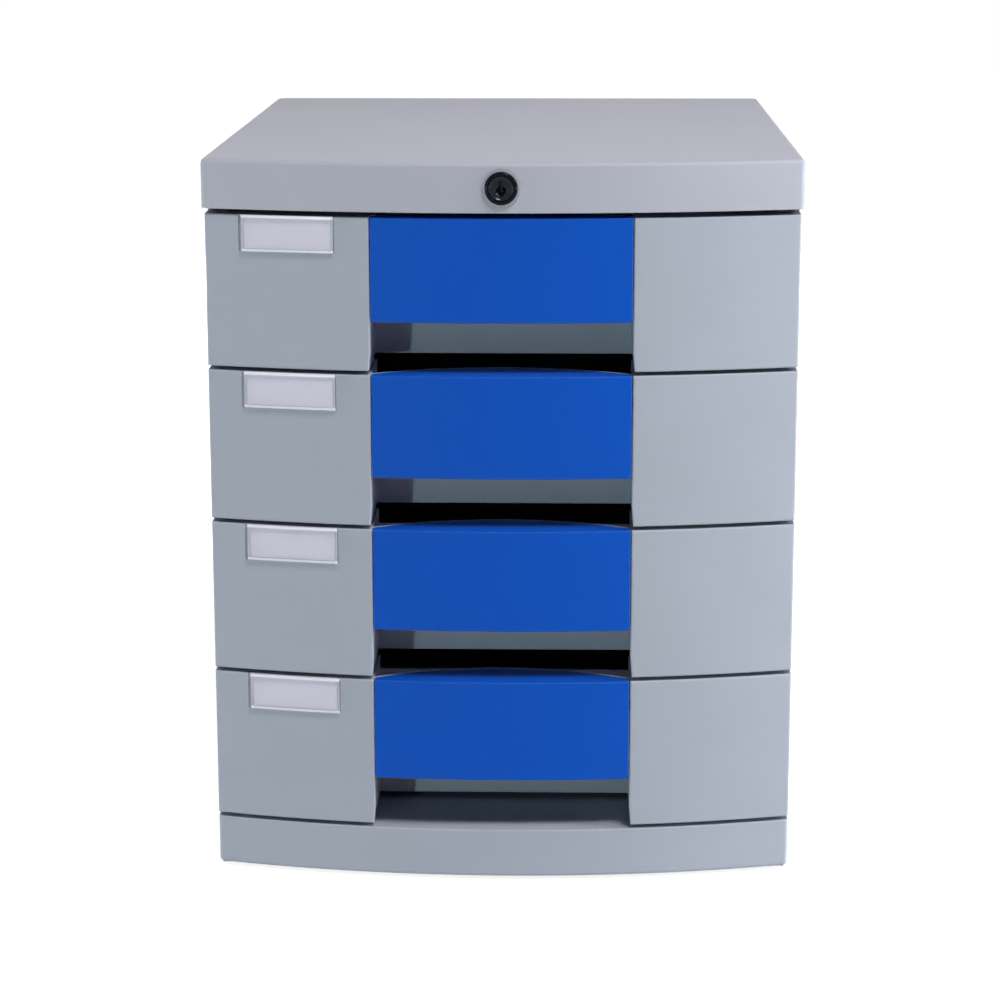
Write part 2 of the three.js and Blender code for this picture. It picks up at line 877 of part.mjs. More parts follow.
// Locking bar: a flat strip with a slot for the pin and a hooked tooth for each drawer.
function lockingBar() {
  const bottom = seamUnder(drawerCount) + guideRise - barTail;
  const slotHalf = pinRadius + pinPlay;
  const top = pinZ + slotHalf + barHead;
  let bar = block([-barHalf, barFront, bottom], [barHalf, barRear, top]);
  const head = block(
    [pinX - slotHalf - barHead, barFront, pinZ - slotHalf - barHead],
    [crankRadius + slotHalf + barHead, barRear, top],
  );
  const slot = block(
    [pinX - slotHalf, barFront - overrun, pinZ - slotHalf],
    [crankRadius + slotHalf, barRear + overrun, pinZ + slotHalf],
  );
  bar = bar.add(head).subtract(slot);
  for (let level = 1; level <= drawerCount; level += 1) {
    bar = bar.add(tooth(level));
  }
  return bar;
}

function tooth(level) {
  const catchTop = seamUnder(level) + catchRim;
  const tip = catchTop + toothClearance;
  const armBottom = tip + barTravel + toothClearance / 3;
  const middle = trayRear + catchReach / 2;
  const front = middle - (catchReach - 2 * catchLip) / 2 + slotPlay;
  const armTop = armBottom + toothArm;
  const arm = block([-toothHalf, front, armBottom], [toothHalf, barFront + barThick / 2, armTop]);
  const tongue = block([-toothHalf, front, tip], [toothHalf, front + toothThick, armTop]);
  return arm.add(tongue);
}

place(cabinet, "top_cover", topCover(), greyPlastic);
place(cabinet, "base", baseShell(), greyPlastic);
place(cabinet, "side_panel_left", sidePanel(-1), greyPlastic);
place(cabinet, "side_panel_right", sidePanel(1), greyPlastic);
place(cabinet, "back_panel", backPanel(), greyPlastic);
place(cabinet, "lock_housing", lockHousing(), chrome);
place(cabinet, "lock_nut", lockNut(), steel);
place(cabinet, "lock_plug", lockPlug(), darkMetal);
place(cabinet, "lock_rod", lockRod(), steel);
place(cabinet, "lock_crank", lockCrank(), steel);
place(cabinet, "locking_bar", lockingBar(), steel);
place(cabinet, "bar_guide_upper", barGuide(1), nylon);
place(cabinet, "bar_guide_lower", barGuide(drawerCount), nylon);

const footNames = ["front_left", "rear_left", "front_right", "rear_right"];
footPlaces().forEach(([x, y], index) => {
  place(cabinet, `foot_${footNames[index]}`, foot(x, y), rubber);
});

// Drawers: the same five pieces and two screws at each level.
const drawerPieces = [
  ["tray", tray(), greyPlastic],
  ["front", drawerFront(), greyPlastic],
  ["handle", handle(), bluePlastic],
  ["label_holder", labelHolder(), clearPlastic],
  ["label_card", labelCard(), card],
];
const frontScrew = screwBody(frontScrewLength);

for (let level = 1; level <= drawerCount; level += 1) {
  const drawer = new THREE.Group();
  drawer.position.z = seamUnder(level);
  for (const [kind, body, material] of drawerPieces) {
    place(drawer, `${kind}_${level}`, body, material);
  }
  for (const [sideName, side] of [["left", -1], ["right", 1]]) {
    const screw = place(drawer, `front_screw_${level}_${sideName}`, frontScrew, steel);
    screw.rotation.x = -Math.PI / 2;
    screw.position.set(side * bossOffset, trayFront + trayWall + screwSeat, bossRise);
  }
  cabinet.add(drawer);
}

// Screws of the case.
const caseScrew = screwBody(caseScrewLength);
for (const [sideName, side] of [["left", -1], ["right", 1]]) {
  const x = side * flangeScrewX();
  coverBossYs().forEach((y, index) => {
    const screw = place(cabinet, `cover_screw_${sideName}_${index + 1}`, caseScrew, steel);
    screw.rotation.x = Math.PI;
    screw.position.set(x, y, panelTop - shellWall - screwSeat);
  });
  baseScrewYs().forEach((y, index) => {
    const screw = place(cabinet, `base_screw_${sideName}_${index + 1}`, caseScrew, steel);
    screw.rotation.x = Math.PI;
    screw.position.set(x, y, basePlateBottom - screwSeat);
  });
  backScrewZs().forEach((z, index) => {
    const screw = place(cabinet, `back_screw_${sideName}_${index + 1}`, caseScrew, steel);
    screw.rotation.x = -Math.PI / 2;
    screw.position.set(x, backRear + screwSeat, z);
  });
}

export default cabinet;
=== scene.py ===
"""Desktop file drawer: rounded mouldings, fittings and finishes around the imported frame."""
import math
from contextlib import contextmanager

import bmesh
import bpy
from mathutils import Matrix, Vector


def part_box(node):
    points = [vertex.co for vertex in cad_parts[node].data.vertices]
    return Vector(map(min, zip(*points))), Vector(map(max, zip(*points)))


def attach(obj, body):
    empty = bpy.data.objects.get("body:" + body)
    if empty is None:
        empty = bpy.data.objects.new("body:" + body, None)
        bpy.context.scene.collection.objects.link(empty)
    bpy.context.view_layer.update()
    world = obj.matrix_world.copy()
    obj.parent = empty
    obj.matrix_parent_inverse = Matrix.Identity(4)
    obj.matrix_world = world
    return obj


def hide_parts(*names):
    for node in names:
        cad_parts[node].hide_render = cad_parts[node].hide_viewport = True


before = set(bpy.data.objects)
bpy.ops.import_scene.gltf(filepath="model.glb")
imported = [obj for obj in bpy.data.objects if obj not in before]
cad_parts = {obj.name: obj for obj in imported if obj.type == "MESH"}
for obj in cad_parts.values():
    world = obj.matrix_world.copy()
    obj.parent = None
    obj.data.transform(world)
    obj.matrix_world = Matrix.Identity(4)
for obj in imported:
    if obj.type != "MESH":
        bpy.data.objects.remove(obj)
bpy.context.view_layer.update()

bl_info = {
    "name": "Desktop file drawer",
    "version": (1, 0, 0),
    "blender": (4, 5, 0),
    "location": "3D View > Sidebar > File drawer",
    "description": "Models a plastic cabinet with four bowed, sliding file drawers and a central lock",
    "category": "Object",
}

# Lengths in this file are millimetres, as on the drawing, and MM turns them into metres.
MM = 0.001

# A cutter reaches past the faces that it opens, by one of these.
PAST = 1.0
FAR_PAST = 5.0

# The bowed front that the cover, the base and the drawers share.
BOW_RADIUS = 572.5
BOW_CENTRE = 375.25
BOW_SIDES = 720
BODY_HALF = 150.0
BODY_REAR = 199.75
COVER_OUT = 1.5
SHELL = 2.5

# A bowed sheet is a slab that reaches back to one depth, with a core taken out that reaches further.
BAND_REAR = -150.0
CORE_REAR = -140.0

# Sides of a round face: wide, on the lock, on a boss and in a screw hole.
FULL_SIDES = 64
LOCK_SIDES = 96
BOSS_SIDES = 32
HOLE_SIDES = 24
SCREW_HOLE = 2.05

# Heights.
BASE_BOTTOM = 2.0
BASE_TOP = 27.6
SEAM_LOW = 28.6
PITCH = 79.7
DRAWERS = 4
COVER_BOTTOM = 349.05
COVER_TOP = 374.0
FRONT_BOTTOM = 1.0
FRONT_TOP = 78.7

# Drawer fronts and handles, with heights counted from the seam under the drawer.
RECESS_HALF = 66.0
RECESS_BACK = -145.75
RECESS_WIDER = 1.2
FLARE_HEIGHT = 10.0
WALL_REAR = -143.75
WALL_TOP = 71.0
WING_BACK = -165.25
WING_ROUND_BACK = -176.0
RECESS_AHEAD = -230.0
UNDER_FRONT = -160.0
INSIDE_REAR = -120.0
TRAY_BOTTOM = 2.4
HANDLE_LOW = 26.0
HANDLE_HALF = 65.6
HANDLE_WALL = 2.5
LUG_ZS = (62.7, 66.7)
LUG_XS = (63.1, 67.9)
LUG_DEPTH = 8.0
LUG_REACH = 2.2
LUG_PLAY = 0.3
DECK_RADIUS = 127.15
DECK_CENTRE = -297.4
DECK_SIDES = 512
BRIDGE_INNER = 0.3
BRIDGE_OUTER = 1.8
BRIDGE_HALF = 67.25
BRIDGE_HEIGHT = 10.0
BOSS_X = 102.0
BOSS_Z = 36.0
BOSS_RADIUS = 5.0
BOSS_HOLE_END = -153.75

# Label holders, with heights counted from the seam, and depths inwards from the bowed front.
LABEL_LEFT = -131.0
LABEL_RIGHT = -84.0
LABEL_LOW = 60.2
LABEL_OUT = -1.4
LABEL_IN = 1.0
SLOT_OUT = -0.7
SLOT_IN = 0.4
SLOT_WALL = 1.2
CARD_OUT = -0.4
CARD_IN = 0.1
CARD_PLAY = 0.3
# The holder's rims are drawn nearly opaque and pale, which paints the highlight that they catch; the side
# rims get less of it.
RIM_WIDTH = 1.3
RIM_FADE = 0.3
SIDE_RIM_HIGHLIGHT = 0.35
POCKET_LEFT = 1.4
POCKET_PLAY = 0.3
POCKET_FLOOR = 1.3

# Side and back panels. Ribs, stops and guide pegs count their heights from the seam.
PANEL_FRONT = -163.75
PANEL_LOW = 27.9
PANEL_HIGH = 348.75
PANEL_INNER = 147.5
FLANGE_INNER = 138.0
FLANGE_REAR = 194.45
FLANGE_SCREW_X = 142.75
FLANGE_HOLE = 4.0
RUNNER_ZS = (64.7, 67.2)
KEEPER_ZS = (70.6, 72.6)
RIB_INNER = 139.0
RIB_YS = (-159.75, 183.95)
STOP_INNER = 134.7
STOP_YS = (-77.25, -73.25)
STOP_ZS = (70.6, 76.6)
BACK_FRONT = 194.75
BACK_REAR = 197.25
BACK_PLAY = 0.3
GUIDE_PEG_X = 10.15
GUIDE_PEG_Z = 35.0
GUIDE_PEG_HOLE = 2.3
COVER_BOSS_YS = (-120.13, 163.4)
BASE_SCREW_YS = (-112.86, 148.86)
BACK_SCREW_ZS = (54.9, 322.75)

# Cover and base fittings.
COVER_BOSS = 4.5
COVER_PILOT = 8.0
HANGER_YS = (-77.25, 154.75)
HANGER_HALF = 9.0
HANGER_DROP = 6.0
HANGER_HOLE = 3.3
PAD_RADIUS = 11.0
FOOT_RADIUS = 9.0
FOOT_SOCKET = 9.3
FOOT_SOCKET_DEPTH = 2.0
FOOT_CUP = 4.0
FOOT_CUP_DEPTH = 0.6

# Trays, with heights counted from the seam.
TRAY_HALF = 137.0
TRAY_FRONT = -143.45
TRAY_REAR = 177.25
TRAY_RIM = 70.0
TRAY_WALL = 2.0
RIM_LOW = 67.5
RIM_XS = (136.0, 146.5)
RIM_SHORTER = 3.0
STOP_LUG_XS = (135.0, 137.0)
STOP_LUG_YS = (167.25, 171.25)
STOP_LUG_TOP = 75.5
CATCH_HALF = 9.0
CATCH_REAR = 186.25
CATCH_ZS = (57.5, 60.0)
CATCH_SLOT_HALF = 5.0
CATCH_SLOT_YS = (179.75, 183.75)

# Lock.
LOCK_Z = 361.525
LOCK_PLACE = (0.0, LOCK_Z)
BEZEL_FRONT = -201.25
BEZEL_REAR = -199.05
BEZEL_RADIUS = 9.25
BEZEL_STEP = 1.3
RING_RADIUS = 8.2
RING_SHORTER = 0.2
BARREL_REAR = -174.75
BARREL_RADIUS = 7.6
BARREL_HOLE = 7.9
BARREL_BORE = 6.5
COVER_WALL_REAR = -193.75
PLUG_RADIUS = 6.2
PLUG_SET_BACK = 0.45
PLUG_LIP = 0.5
PLUG_SLOPE = 0.7
PLUG_DISH = 0.6
PLUG_LONGER = 0.3
MOUTH_DROP = 1.4
MOUTH_RADII = (2.9, 0.9)
MOUTH_YS = (-0.1, 1.8)
MOUTH_SIDES = 48
KEYWAY_HALF = 0.8
KEYWAY_TALL = 4.0
KEYWAY_DEPTH = 14.0
TANG_HALF = 2.2
TANG_LENGTH = 8.3
SOCKET_HALF = 2.5
NUT_ACROSS = 17.4
NUT_YS = (-195.95, -191.95)
ROD_RADIUS = 3.0
ROD_GAP = 0.6
ROD_REAR = 181.95
ROD_SHORTER = 0.3
ROD_SIDES = 48
COLLAR_RADIUS = 5.0
COLLAR_LENGTH = 12.0
ROD_SQUARE = 2.0
ROD_SQUARE_LENGTH = 3.5


# Settings.

def length(name, description, millimetres):
    return bpy.props.FloatProperty(
        name=name, description=description, default=millimetres * MM, unit="LENGTH", subtype="DISTANCE")


def watts(name, description, power):
    return bpy.props.FloatProperty(
        name=name, description=description + ", in watts", default=power, min=0.0)


def shade(name, description, value):
    return bpy.props.FloatVectorProperty(
        name=name, description=description, default=value, subtype="COLOR_GAMMA", min=0.0, max=1.0)


class FileDrawerSizes(bpy.types.PropertyGroup):
    cover_round: length("Cover rounding", "Radius of the cover's upper rim", 2.2)
    cover_corner: length("Front corners", "Radius of the upright front corners of cover and base", 2.4)
    rear_corner: length("Rear corners", "Radius of the upright rear corners of cover and base", 5.0)
    base_round: length("Base rounding", "Radius of the base's lower rim", 2.2)
    front_round: length("Front rounding", "Radius round each drawer front", 1.0)
    small_round: length("Small edges", "Radius left on the small edges of a moulding", 0.3)
    tray_corner: length("Tray corners", "Inside radius where a tray's walls and floor meet", 3.0)
    side_light: watts("Side light", "Power of the light straight from the right; the left one has half", 41.0)
    high_light: watts("High light", "Power of the raised right light; the left one has a quarter", 20.0)
    front_light: watts("Front light", "Power of the soft light high in front", 37.0)
    low_light: watts("Low light", "Power of the small light that looks into the recesses", 10.0)
    rear_light: watts("Rear lights", "Power of each of the two soft lights behind", 13.0)


class FileDrawerColours(bpy.types.PropertyGroup):
    grey: shade("Cabinet grey", "Light grey of the mouldings", (0.665, 0.69, 0.742))
    # The lid's grey is lighter and slightly warmer than the cabinet grey; the extra lightness paints the
    # stronger light that falls on the top.
    lid: shade("Lid grey painted lighter", "Slightly warmer grey of the top cover's moulding", (0.70, 0.71, 0.76))
    blue: shade("Handle blue", "Strong blue of the handle inserts", (0.02, 0.322, 0.75))
    card: shade("Label card", "Pale card behind the clear holder", (0.86, 0.845, 0.905))
    clear: shade("Clear holder", "Tint of the clear plastic", (0.95, 0.95, 1.0))
    nylon: shade("Nylon", "Natural nylon of the bar guides", (0.86, 0.86, 0.83))
    rubber: shade("Rubber", "Dark rubber of the feet", (0.12, 0.12, 0.125))


def sizes():
    return bpy.context.scene.file_drawer_sizes


def colours():
    return bpy.context.scene.file_drawer_colours


def seam(level):
    """Height of the seam under a drawer, counted from the top one."""
    return SEAM_LOW + (DRAWERS - level) * PITCH


def bow_y(x, inset=0.0):
    """Depth of the bowed front, or of a face set in behind it."""
    return BOW_CENTRE - math.sqrt((BOW_RADIUS - inset) ** 2 - x * x)


BOW_NEAR = 0.5
LUG_FRONT = bow_y(RECESS_HALF, HANDLE_WALL) - HANDLE_WALL / 2


def near_bow(point, inset=0.0):
    """True on the bowed front and just behind it."""
    return point.y < bow_y(point.x, inset) + BOW_NEAR


def over(low, ends):
    """Two heights counted from a seam, as heights above the desk."""
    return low + ends[0], low + ends[1]


def on_side(side, near, far):
    """Two distances from the middle as the ends of a span, on the left for -1 or the right for 1."""
    return sorted((side * near, side * far))


# Modelling by hand, from blocks, rods and slices of the bow's cylinder. SIDES are left and right.

CREASE = math.radians(28)
SMOOTH = math.radians(40)
NEAR = 0.05
SLIVER = 0.03 * MM
MERGE = 0.004 * MM
SIDES = (-1, 1)


def only(obj):
    """Selects one object alone and makes it the active one."""
    bpy.ops.object.select_all(action="DESELECT")
    obj.select_set(True)
    bpy.context.view_layer.objects.active = obj
    return obj


@contextmanager
def editing(obj):
    """Opens a mesh for editing with all of it selected, and closes it again."""
    only(obj)
    bpy.ops.object.mode_set(mode="EDIT")
    bpy.ops.mesh.select_all(action="SELECT")
    yield
    bpy.ops.object.mode_set(mode="OBJECT")


def select_parts(obj, kind, test):
    """Selects the points, edges or faces of the open mesh that pass a test, and counts them."""
    bpy.ops.mesh.select_mode(type=kind)
    bpy.ops.mesh.select_all(action="DESELECT")
    mesh = bmesh.from_edit_mesh(obj.data)
    parts = {"VERT": mesh.verts, "EDGE": mesh.edges, "FACE": mesh.faces}[kind]
    chosen = [part for part in parts if test(part)]
    for part in chosen:
        part.select_set(True)
    mesh.select_flush_mode()
    bmesh.update_edit_mesh(obj.data)
    return len(chosen)


def apply_modifier(obj, kind, **values):
    modifier = obj.modifiers.new(kind.title(), kind)
    for key, value in values.items():
        setattr(modifier, key, value)
    only(obj)
    bpy.ops.object.modifier_apply(modifier=modifier.name)


def apply_place():
    bpy.ops.object.transform_apply(location=True, rotation=True, scale=True)


def added(name):
    """Names the primitive just added and puts its place into its mesh."""
    obj = bpy.context.active_object
    obj.name = name
    obj.data.name = name
    only(obj)
    apply_place()
    return obj


def add_box(name, xs, ys, zs):
    """A block between two ends along each axis."""
    bpy.ops.object.select_all(action="DESELECT")
    middle = [(a + b) / 2 * MM for a, b in (xs, ys, zs)]
    extent = [(b - a) * MM for a, b in (xs, ys, zs)]
    bpy.ops.mesh.primitive_cube_add(size=1, location=middle, scale=extent)
    return added(name)


def add_rod(name, axis, radius, place, low, high, sides=FULL_SIDES):
    """A round bar along Y or Z, between two ends."""
    bpy.ops.object.select_all(action="DESELECT")
    middle = (low + high) / 2
    where = (place[0], middle, place[1]) if axis == "Y" else (place[0], place[1], middle)
    turn = (math.pi / 2, 0, 0) if axis == "Y" else (0, 0, 0)
    bpy.ops.mesh.primitive_cylinder_add(
        vertices=sides, radius=radius * MM, depth=(high - low) * MM,
        location=[v * MM for v in where], rotation=turn)
    return added(name)


def add_taper(name, place, radii, low, high, sides):
    """A round cutter along Y that narrows from its front end to its rear end."""
    bpy.ops.object.select_all(action="DESELECT")
    bpy.ops.mesh.primitive_cone_add(
        vertices=sides, radius1=radii[0] * MM, radius2=radii[1] * MM, depth=(high - low) * MM,
        location=[v * MM for v in (place[0], (low + high) / 2, place[1])], rotation=(-math.pi / 2, 0, 0))
    return added(name)


def screw_hole(place, low, high, axis="Z"):
    return add_rod("hole", axis, SCREW_HOLE, place, low, high, HOLE_SIDES)


def on_lock(name, radius, low, high, sides=LOCK_SIDES):
    """A rod on the lock's axis."""
    return add_rod(name, "Y", radius, LOCK_PLACE, low, high, sides)


def block_on_lock(name, half, low, high, tall=None):
    """A square bar on the lock's axis, or a taller one."""
    tall = tall or half
    return add_box(name, (-half, half), (low, high), (LOCK_Z - tall, LOCK_Z + tall))


def slice_off(obj, point, away):
    """Cuts off what lies beyond a plane, and closes the cut."""
    with editing(obj):
        bpy.ops.mesh.bisect(plane_co=[v * MM for v in point], plane_no=away, use_fill=True, clear_outer=True)
    return obj


def slice_sides(obj, xs):
    """Cuts off what lies beyond a right and a left end."""
    slice_off(obj, (xs[1], 0, 0), (1, 0, 0))
    return slice_off(obj, (xs[0], 0, 0), (-1, 0, 0))


def score(point, way):
    """Cuts a line round the open mesh where a plane meets it."""
    bpy.ops.mesh.select_all(action="SELECT")
    bpy.ops.mesh.bisect(plane_co=[v * MM for v in point], plane_no=way)


def add_bowed(name, xs, inset, rear, zs):
    """A slab with the bowed front: a slice of one wide cylinder."""
    obj = add_rod(name, "Z", BOW_RADIUS - inset, (0, BOW_CENTRE), *zs, sides=BOW_SIDES)
    slice_off(obj, (0, rear, 0), (0, 1, 0))
    return slice_sides(obj, xs)


def add_band(name, xs, outer, inner, zs):
    """A bowed sheet between two depths behind the bowed front."""
    band = add_bowed(name, xs, outer, BAND_REAR, zs)
    wider = (xs[0] - FAR_PAST, xs[1] + FAR_PAST)
    return cut(band, add_bowed("core", wider, inner, CORE_REAR, (zs[0] - FAR_PAST, zs[1] + FAR_PAST)))


def round_edges(obj, test, width, segments=4):
    """Bevels the creased edges that pass a test of their middle, in millimetres, and direction."""
    def creased(edge):
        ends = [v.co / MM for v in edge.verts]
        along = (ends[1] - ends[0]).normalized()
        return edge.calc_face_angle(0) > CREASE and test((ends[0] + ends[1]) / 2, along)

    with editing(obj):
        if not select_parts(obj, "EDGE", creased):
            raise RuntimeError(f"no edge to round on {obj.name}")
        bpy.ops.mesh.bevel(
            offset=width, offset_type="OFFSET", segments=segments, affect="EDGES", clamp_overlap=False)
    return obj


def upright(along):
    return abs(along.z) > 0.99


def front_to_back(along):
    return abs(along.y) > 0.99


def across(along):
    return abs(along.y) < 0.1


def round_corners(shell):
    """Rounds the upright corners of the cover or the base."""
    size = sizes()
    round_edges(shell, lambda m, a: upright(a) and m.y > 0, size.rear_corner, 8)
    round_edges(shell, lambda m, a: upright(a) and m.y < 0, size.cover_corner, 5)


def hollow_out(shell, xs, inset, rear, low, plate):
    """Hollows the cover or the base from below, up to the underside of its plate."""
    size = sizes()
    hollow = add_bowed("hollow", xs, inset, rear, (low, plate))
    round_edges(hollow, lambda m, a: upright(a), size.cover_corner, 4)
    round_edges(hollow, lambda m, a: m.z > plate - NEAR, size.front_round, 3)
    return cut(shell, hollow)


def combine(obj, other, operation):
    """Joins another solid to this one, or cuts it away, or keeps what both share."""
    apply_modifier(obj, "BOOLEAN", operation=operation, object=other, solver="EXACT")
    bpy.data.meshes.remove(other.data)
    return obj


def join(obj, *others):
    for other in others:
        combine(obj, other, "UNION")
    return obj


def cut(obj, *others):
    for other in others:
        combine(obj, other, "DIFFERENCE")
    return obj


def tidy_mesh(obj, reach):
    """Merges the points and clears the slivers that a cut leaves along its rim."""
    with editing(obj):
        bpy.ops.mesh.remove_doubles(threshold=reach)
        bpy.ops.mesh.dissolve_degenerate(threshold=reach)


def finish_mesh(obj, width):
    """Breaks the sharp edges that are left, and smooths what is round."""
    tidy_mesh(obj, SLIVER)
    apply_modifier(obj, "BEVEL", width=width, segments=2, limit_method="ANGLE", angle_limit=SMOOTH,
                   use_clamp_overlap=False)
    tidy_mesh(obj, MERGE)
    bpy.ops.object.shade_smooth_by_angle(angle=SMOOTH)
    apply_modifier(obj, "WEIGHTED_NORMAL", keep_sharp=True)
    return obj


def copy_of(obj, name, shift=(0, 0, 0)):
    """A copy with a mesh of its own, moved and put in place."""
    twin = obj.copy()
    twin.data = obj.data.copy()
    twin.name = name
    twin.data.name = name
    bpy.context.collection.objects.link(twin)
    only(twin)
    bpy.ops.transform.translate(value=[v * MM for v in shift])
    apply_place()
    return twin


def mirrored(obj, name):
    """A copy turned over to the other side of the middle."""
    twin = copy_of(obj, name)
    with editing(twin):
        bpy.ops.transform.mirror(
            orient_type="GLOBAL", constraint_axis=(True, False, False), center_override=(0, 0, 0))
        bpy.ops.mesh.flip_normals()
    return twin


def dress(obj, finish, body, slot, *nodes):
    """Gives a finished piece its material, its body and the CAD nodes that it stands for."""
    obj.data.materials.clear()
    obj.data.materials.append(finishes()[finish])
    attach(obj, body)
    if nodes:
        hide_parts(*nodes)
    return obj


def in_each_drawer(piece, name, finish, slot, node_name):
    """Copies the lowest drawer's piece into the drawers above, and dresses all of them."""
    levels = range(DRAWERS, 0, -1)
    pieces = [piece]
    for level in levels[1:]:
        pieces.append(copy_of(piece, f"{name}_{level}", (0, 0, (DRAWERS - level) * PITCH)))
    for level, each in zip(levels, pieces):
        dress(each, finish, f"drawer_{level}", slot, f"{node_name}_{level}")


# Finishes. Pattern scales are repeats in a metre, and a noise mostly lies between its two usual values.

NUMBER = "NodeSocketFloat"
COLOUR = "NodeSocketColor"
VECTOR = "NodeSocketVector"
CLOUD_SCALE = 22.0
FLECK_SCALE = 700.0
DRAWN_SCALE = 900.0
SPOT_SCALE = 160.0
FIBRE_SCALE = 900.0
HAZE_SCALE = 60.0
USUAL = (0.3, 0.7)
# The pale colour mixed onto corners and rims is a painted highlight: the light that rounded edges catch.
HIGHLIGHT_RADIUS = 0.7 * MM
HIGHLIGHT_ANGLES = (0.995, 0.93)
PAINTED_HIGHLIGHT = (0.85, 0.87, 0.9, 1)
ALONG_BAR = (1, 0.06, 1)
ALONG_CARD = (1.0, 1.0, 3.0)
RING_SOFT = 0.2


def linear(colour):
    """A colour as it looks on screen, turned into the one that a shader takes."""
    return [c / 12.92 if c <= 0.04045 else ((c + 0.055) / 1.055) ** 2.4 for c in colour] + [1.0]


def new_group(name, inputs, outputs):
    """A node group with its input sockets and its output node."""
    group = bpy.data.node_groups.new(name, "ShaderNodeTree")
    for label, kind, value in inputs:
        socket = group.interface.new_socket(name=label, in_out="INPUT", socket_type=kind)
        socket.default_value = value
    for label, kind in outputs:
        group.interface.new_socket(name=label, in_out="OUTPUT", socket_type=kind)
    return group, group.nodes.new("NodeGroupInput").outputs, group.nodes.new("NodeGroupOutput")


def set_inputs(tree, made, inputs):
    """Joins a node's inputs to sockets, or gives them values."""
    for key, value in inputs.items():
        if isinstance(value, bpy.types.NodeSocket):
            tree.links.new(value, made.inputs[key])
        else:
            made.inputs[key].default_value = value
    return made


def node(tree, kind, inputs=None, **values):
    """Adds a node: plain keywords set its properties."""
    made = tree.nodes.new(kind)
    for key, value in values.items():
        setattr(made, key, value)
    return set_inputs(tree, made, inputs or {})


def group_node(tree, name, inputs):
    return set_inputs(tree, node(tree, "ShaderNodeGroup", node_tree=bpy.data.node_groups[name]), inputs)


def maths(tree, operation, *values):
    return node(tree, "ShaderNodeMath", dict(enumerate(values)), operation=operation).outputs[0]


def vector_maths(tree, operation, *values):
    return node(tree, "ShaderNodeVectorMath", dict(enumerate(values)), operation=operation).outputs


def scaled(tree, colour, factor):
    return node(tree, "ShaderNodeVectorMath", {0: colour, "Scale": factor}, operation="SCALE").outputs[0]


def remap(tree, value, start, end, low=0.0, high=1.0):
    """Stretches one range of values onto another."""
    return node(tree, "ShaderNodeMapRange", {
        "Value": value, "From Min": start, "From Max": end, "To Min": low, "To Max": high}).outputs[0]


def noise(tree, place, scale, detail, roughness=0.5):
    return node(tree, "ShaderNodeTexNoise", {
        "Vector": place, "Scale": scale, "Detail": detail, "Roughness": roughness}).outputs["Fac"]


def mixed(tree, factor, first, second):
    return node(tree, "ShaderNodeMix", {"Factor": factor, 6: first, 7: second}, data_type="RGBA").outputs[2]


def bump(tree, height, distance, strength):
    return node(tree, "ShaderNodeBump", {
        "Strength": strength, "Distance": distance, "Height": height}).outputs["Normal"]


def object_place(tree):
    return node(tree, "ShaderNodeTexCoord").outputs["Object"]


def moulded_group():
    """Fine spark-eroded grain of a moulding, with soft clouds in its shade and gloss."""
    group, given, leave = new_group(
        "Moulded surface",
        [("Colour", COLOUR, (0.5, 0.5, 0.5, 1)), ("Grain size", NUMBER, 0.35), ("Clouds", NUMBER, 0.03),
         ("Gloss low", NUMBER, 0.4), ("Gloss high", NUMBER, 0.5)],
        [("Colour", COLOUR), ("Roughness", NUMBER), ("Height", NUMBER)])
    place = object_place(group)
    scale = maths(group, "DIVIDE", 1.0 / MM, given["Grain size"])
    grain = noise(group, place, scale, 2.0, 0.6)
    pits = node(group, "ShaderNodeTexVoronoi", {"Vector": place, "Scale": scale}, feature="SMOOTH_F1")
    clouds = noise(group, place, CLOUD_SCALE, 3.0)
    speck = maths(group, "SUBTRACT", grain, 0.5)
    both = maths(group, "ADD", remap(group, clouds, *USUAL, -1.0, 1.0), speck)
    swing = maths(group, "MULTIPLY_ADD", both, given["Clouds"], 1.0)
    set_inputs(group, leave, {
        "Colour": scaled(group, given["Colour"], swing),
        "Roughness": remap(group, clouds, *USUAL, given["Gloss low"], given["Gloss high"]),
        "Height": maths(group, "ADD", grain, pits.outputs["Distance"])})


def edge_highlight_group():
    """A mask of the corners and rims of a piece, broken up by fine noise, where a pale colour paints the
    highlight that rounded edges catch.
    """
    group, given, leave = new_group("Painted edge highlight", [("Amount", NUMBER, 0.5)], [("Mask", NUMBER)])
    plain = node(group, "ShaderNodeNewGeometry").outputs["Normal"]
    eased = node(group, "ShaderNodeBevel", {"Radius": HIGHLIGHT_RADIUS}, samples=4).outputs["Normal"]
    agree = vector_maths(group, "DOT_PRODUCT", plain, eased)["Value"]
    fleck = noise(group, object_place(group), FLECK_SCALE, 3.0)
    highlit = maths(group, "MULTIPLY", remap(group, agree, *HIGHLIGHT_ANGLES), remap(group, fleck, 0.4, 0.65))
    set_inputs(group, leave, {"Mask": maths(group, "MULTIPLY", highlit, given["Amount"])})


def metal_group():
    """Drawn or plated metal: fine lines one way, and dull spots."""
    group, given, leave = new_group(
        "Metal surface",
        [("Stretch", VECTOR, (1, 1, 1)), ("Gloss low", NUMBER, 0.2), ("Gloss high", NUMBER, 0.4)],
        [("Roughness", NUMBER), ("Height", NUMBER), ("Tone", NUMBER)])
    place = object_place(group)
    drawn = vector_maths(group, "MULTIPLY", place, given["Stretch"])[0]
    lines = noise(group, drawn, DRAWN_SCALE, 3.0)
    spots = noise(group, place, SPOT_SCALE, 2.0)
    both = maths(group, "ADD", lines, spots)
    set_inputs(group, leave, {
        "Roughness": remap(group, both, 0.7, 1.3, given["Gloss low"], given["Gloss high"]),
        "Height": lines,
        "Tone": remap(group, spots, *USUAL, 0.9, 1.05)})


def start_material(name):
    made = bpy.data.materials.new(name)
    made.use_nodes = True
    return made, made.node_tree, made.node_tree.nodes["Principled BSDF"]


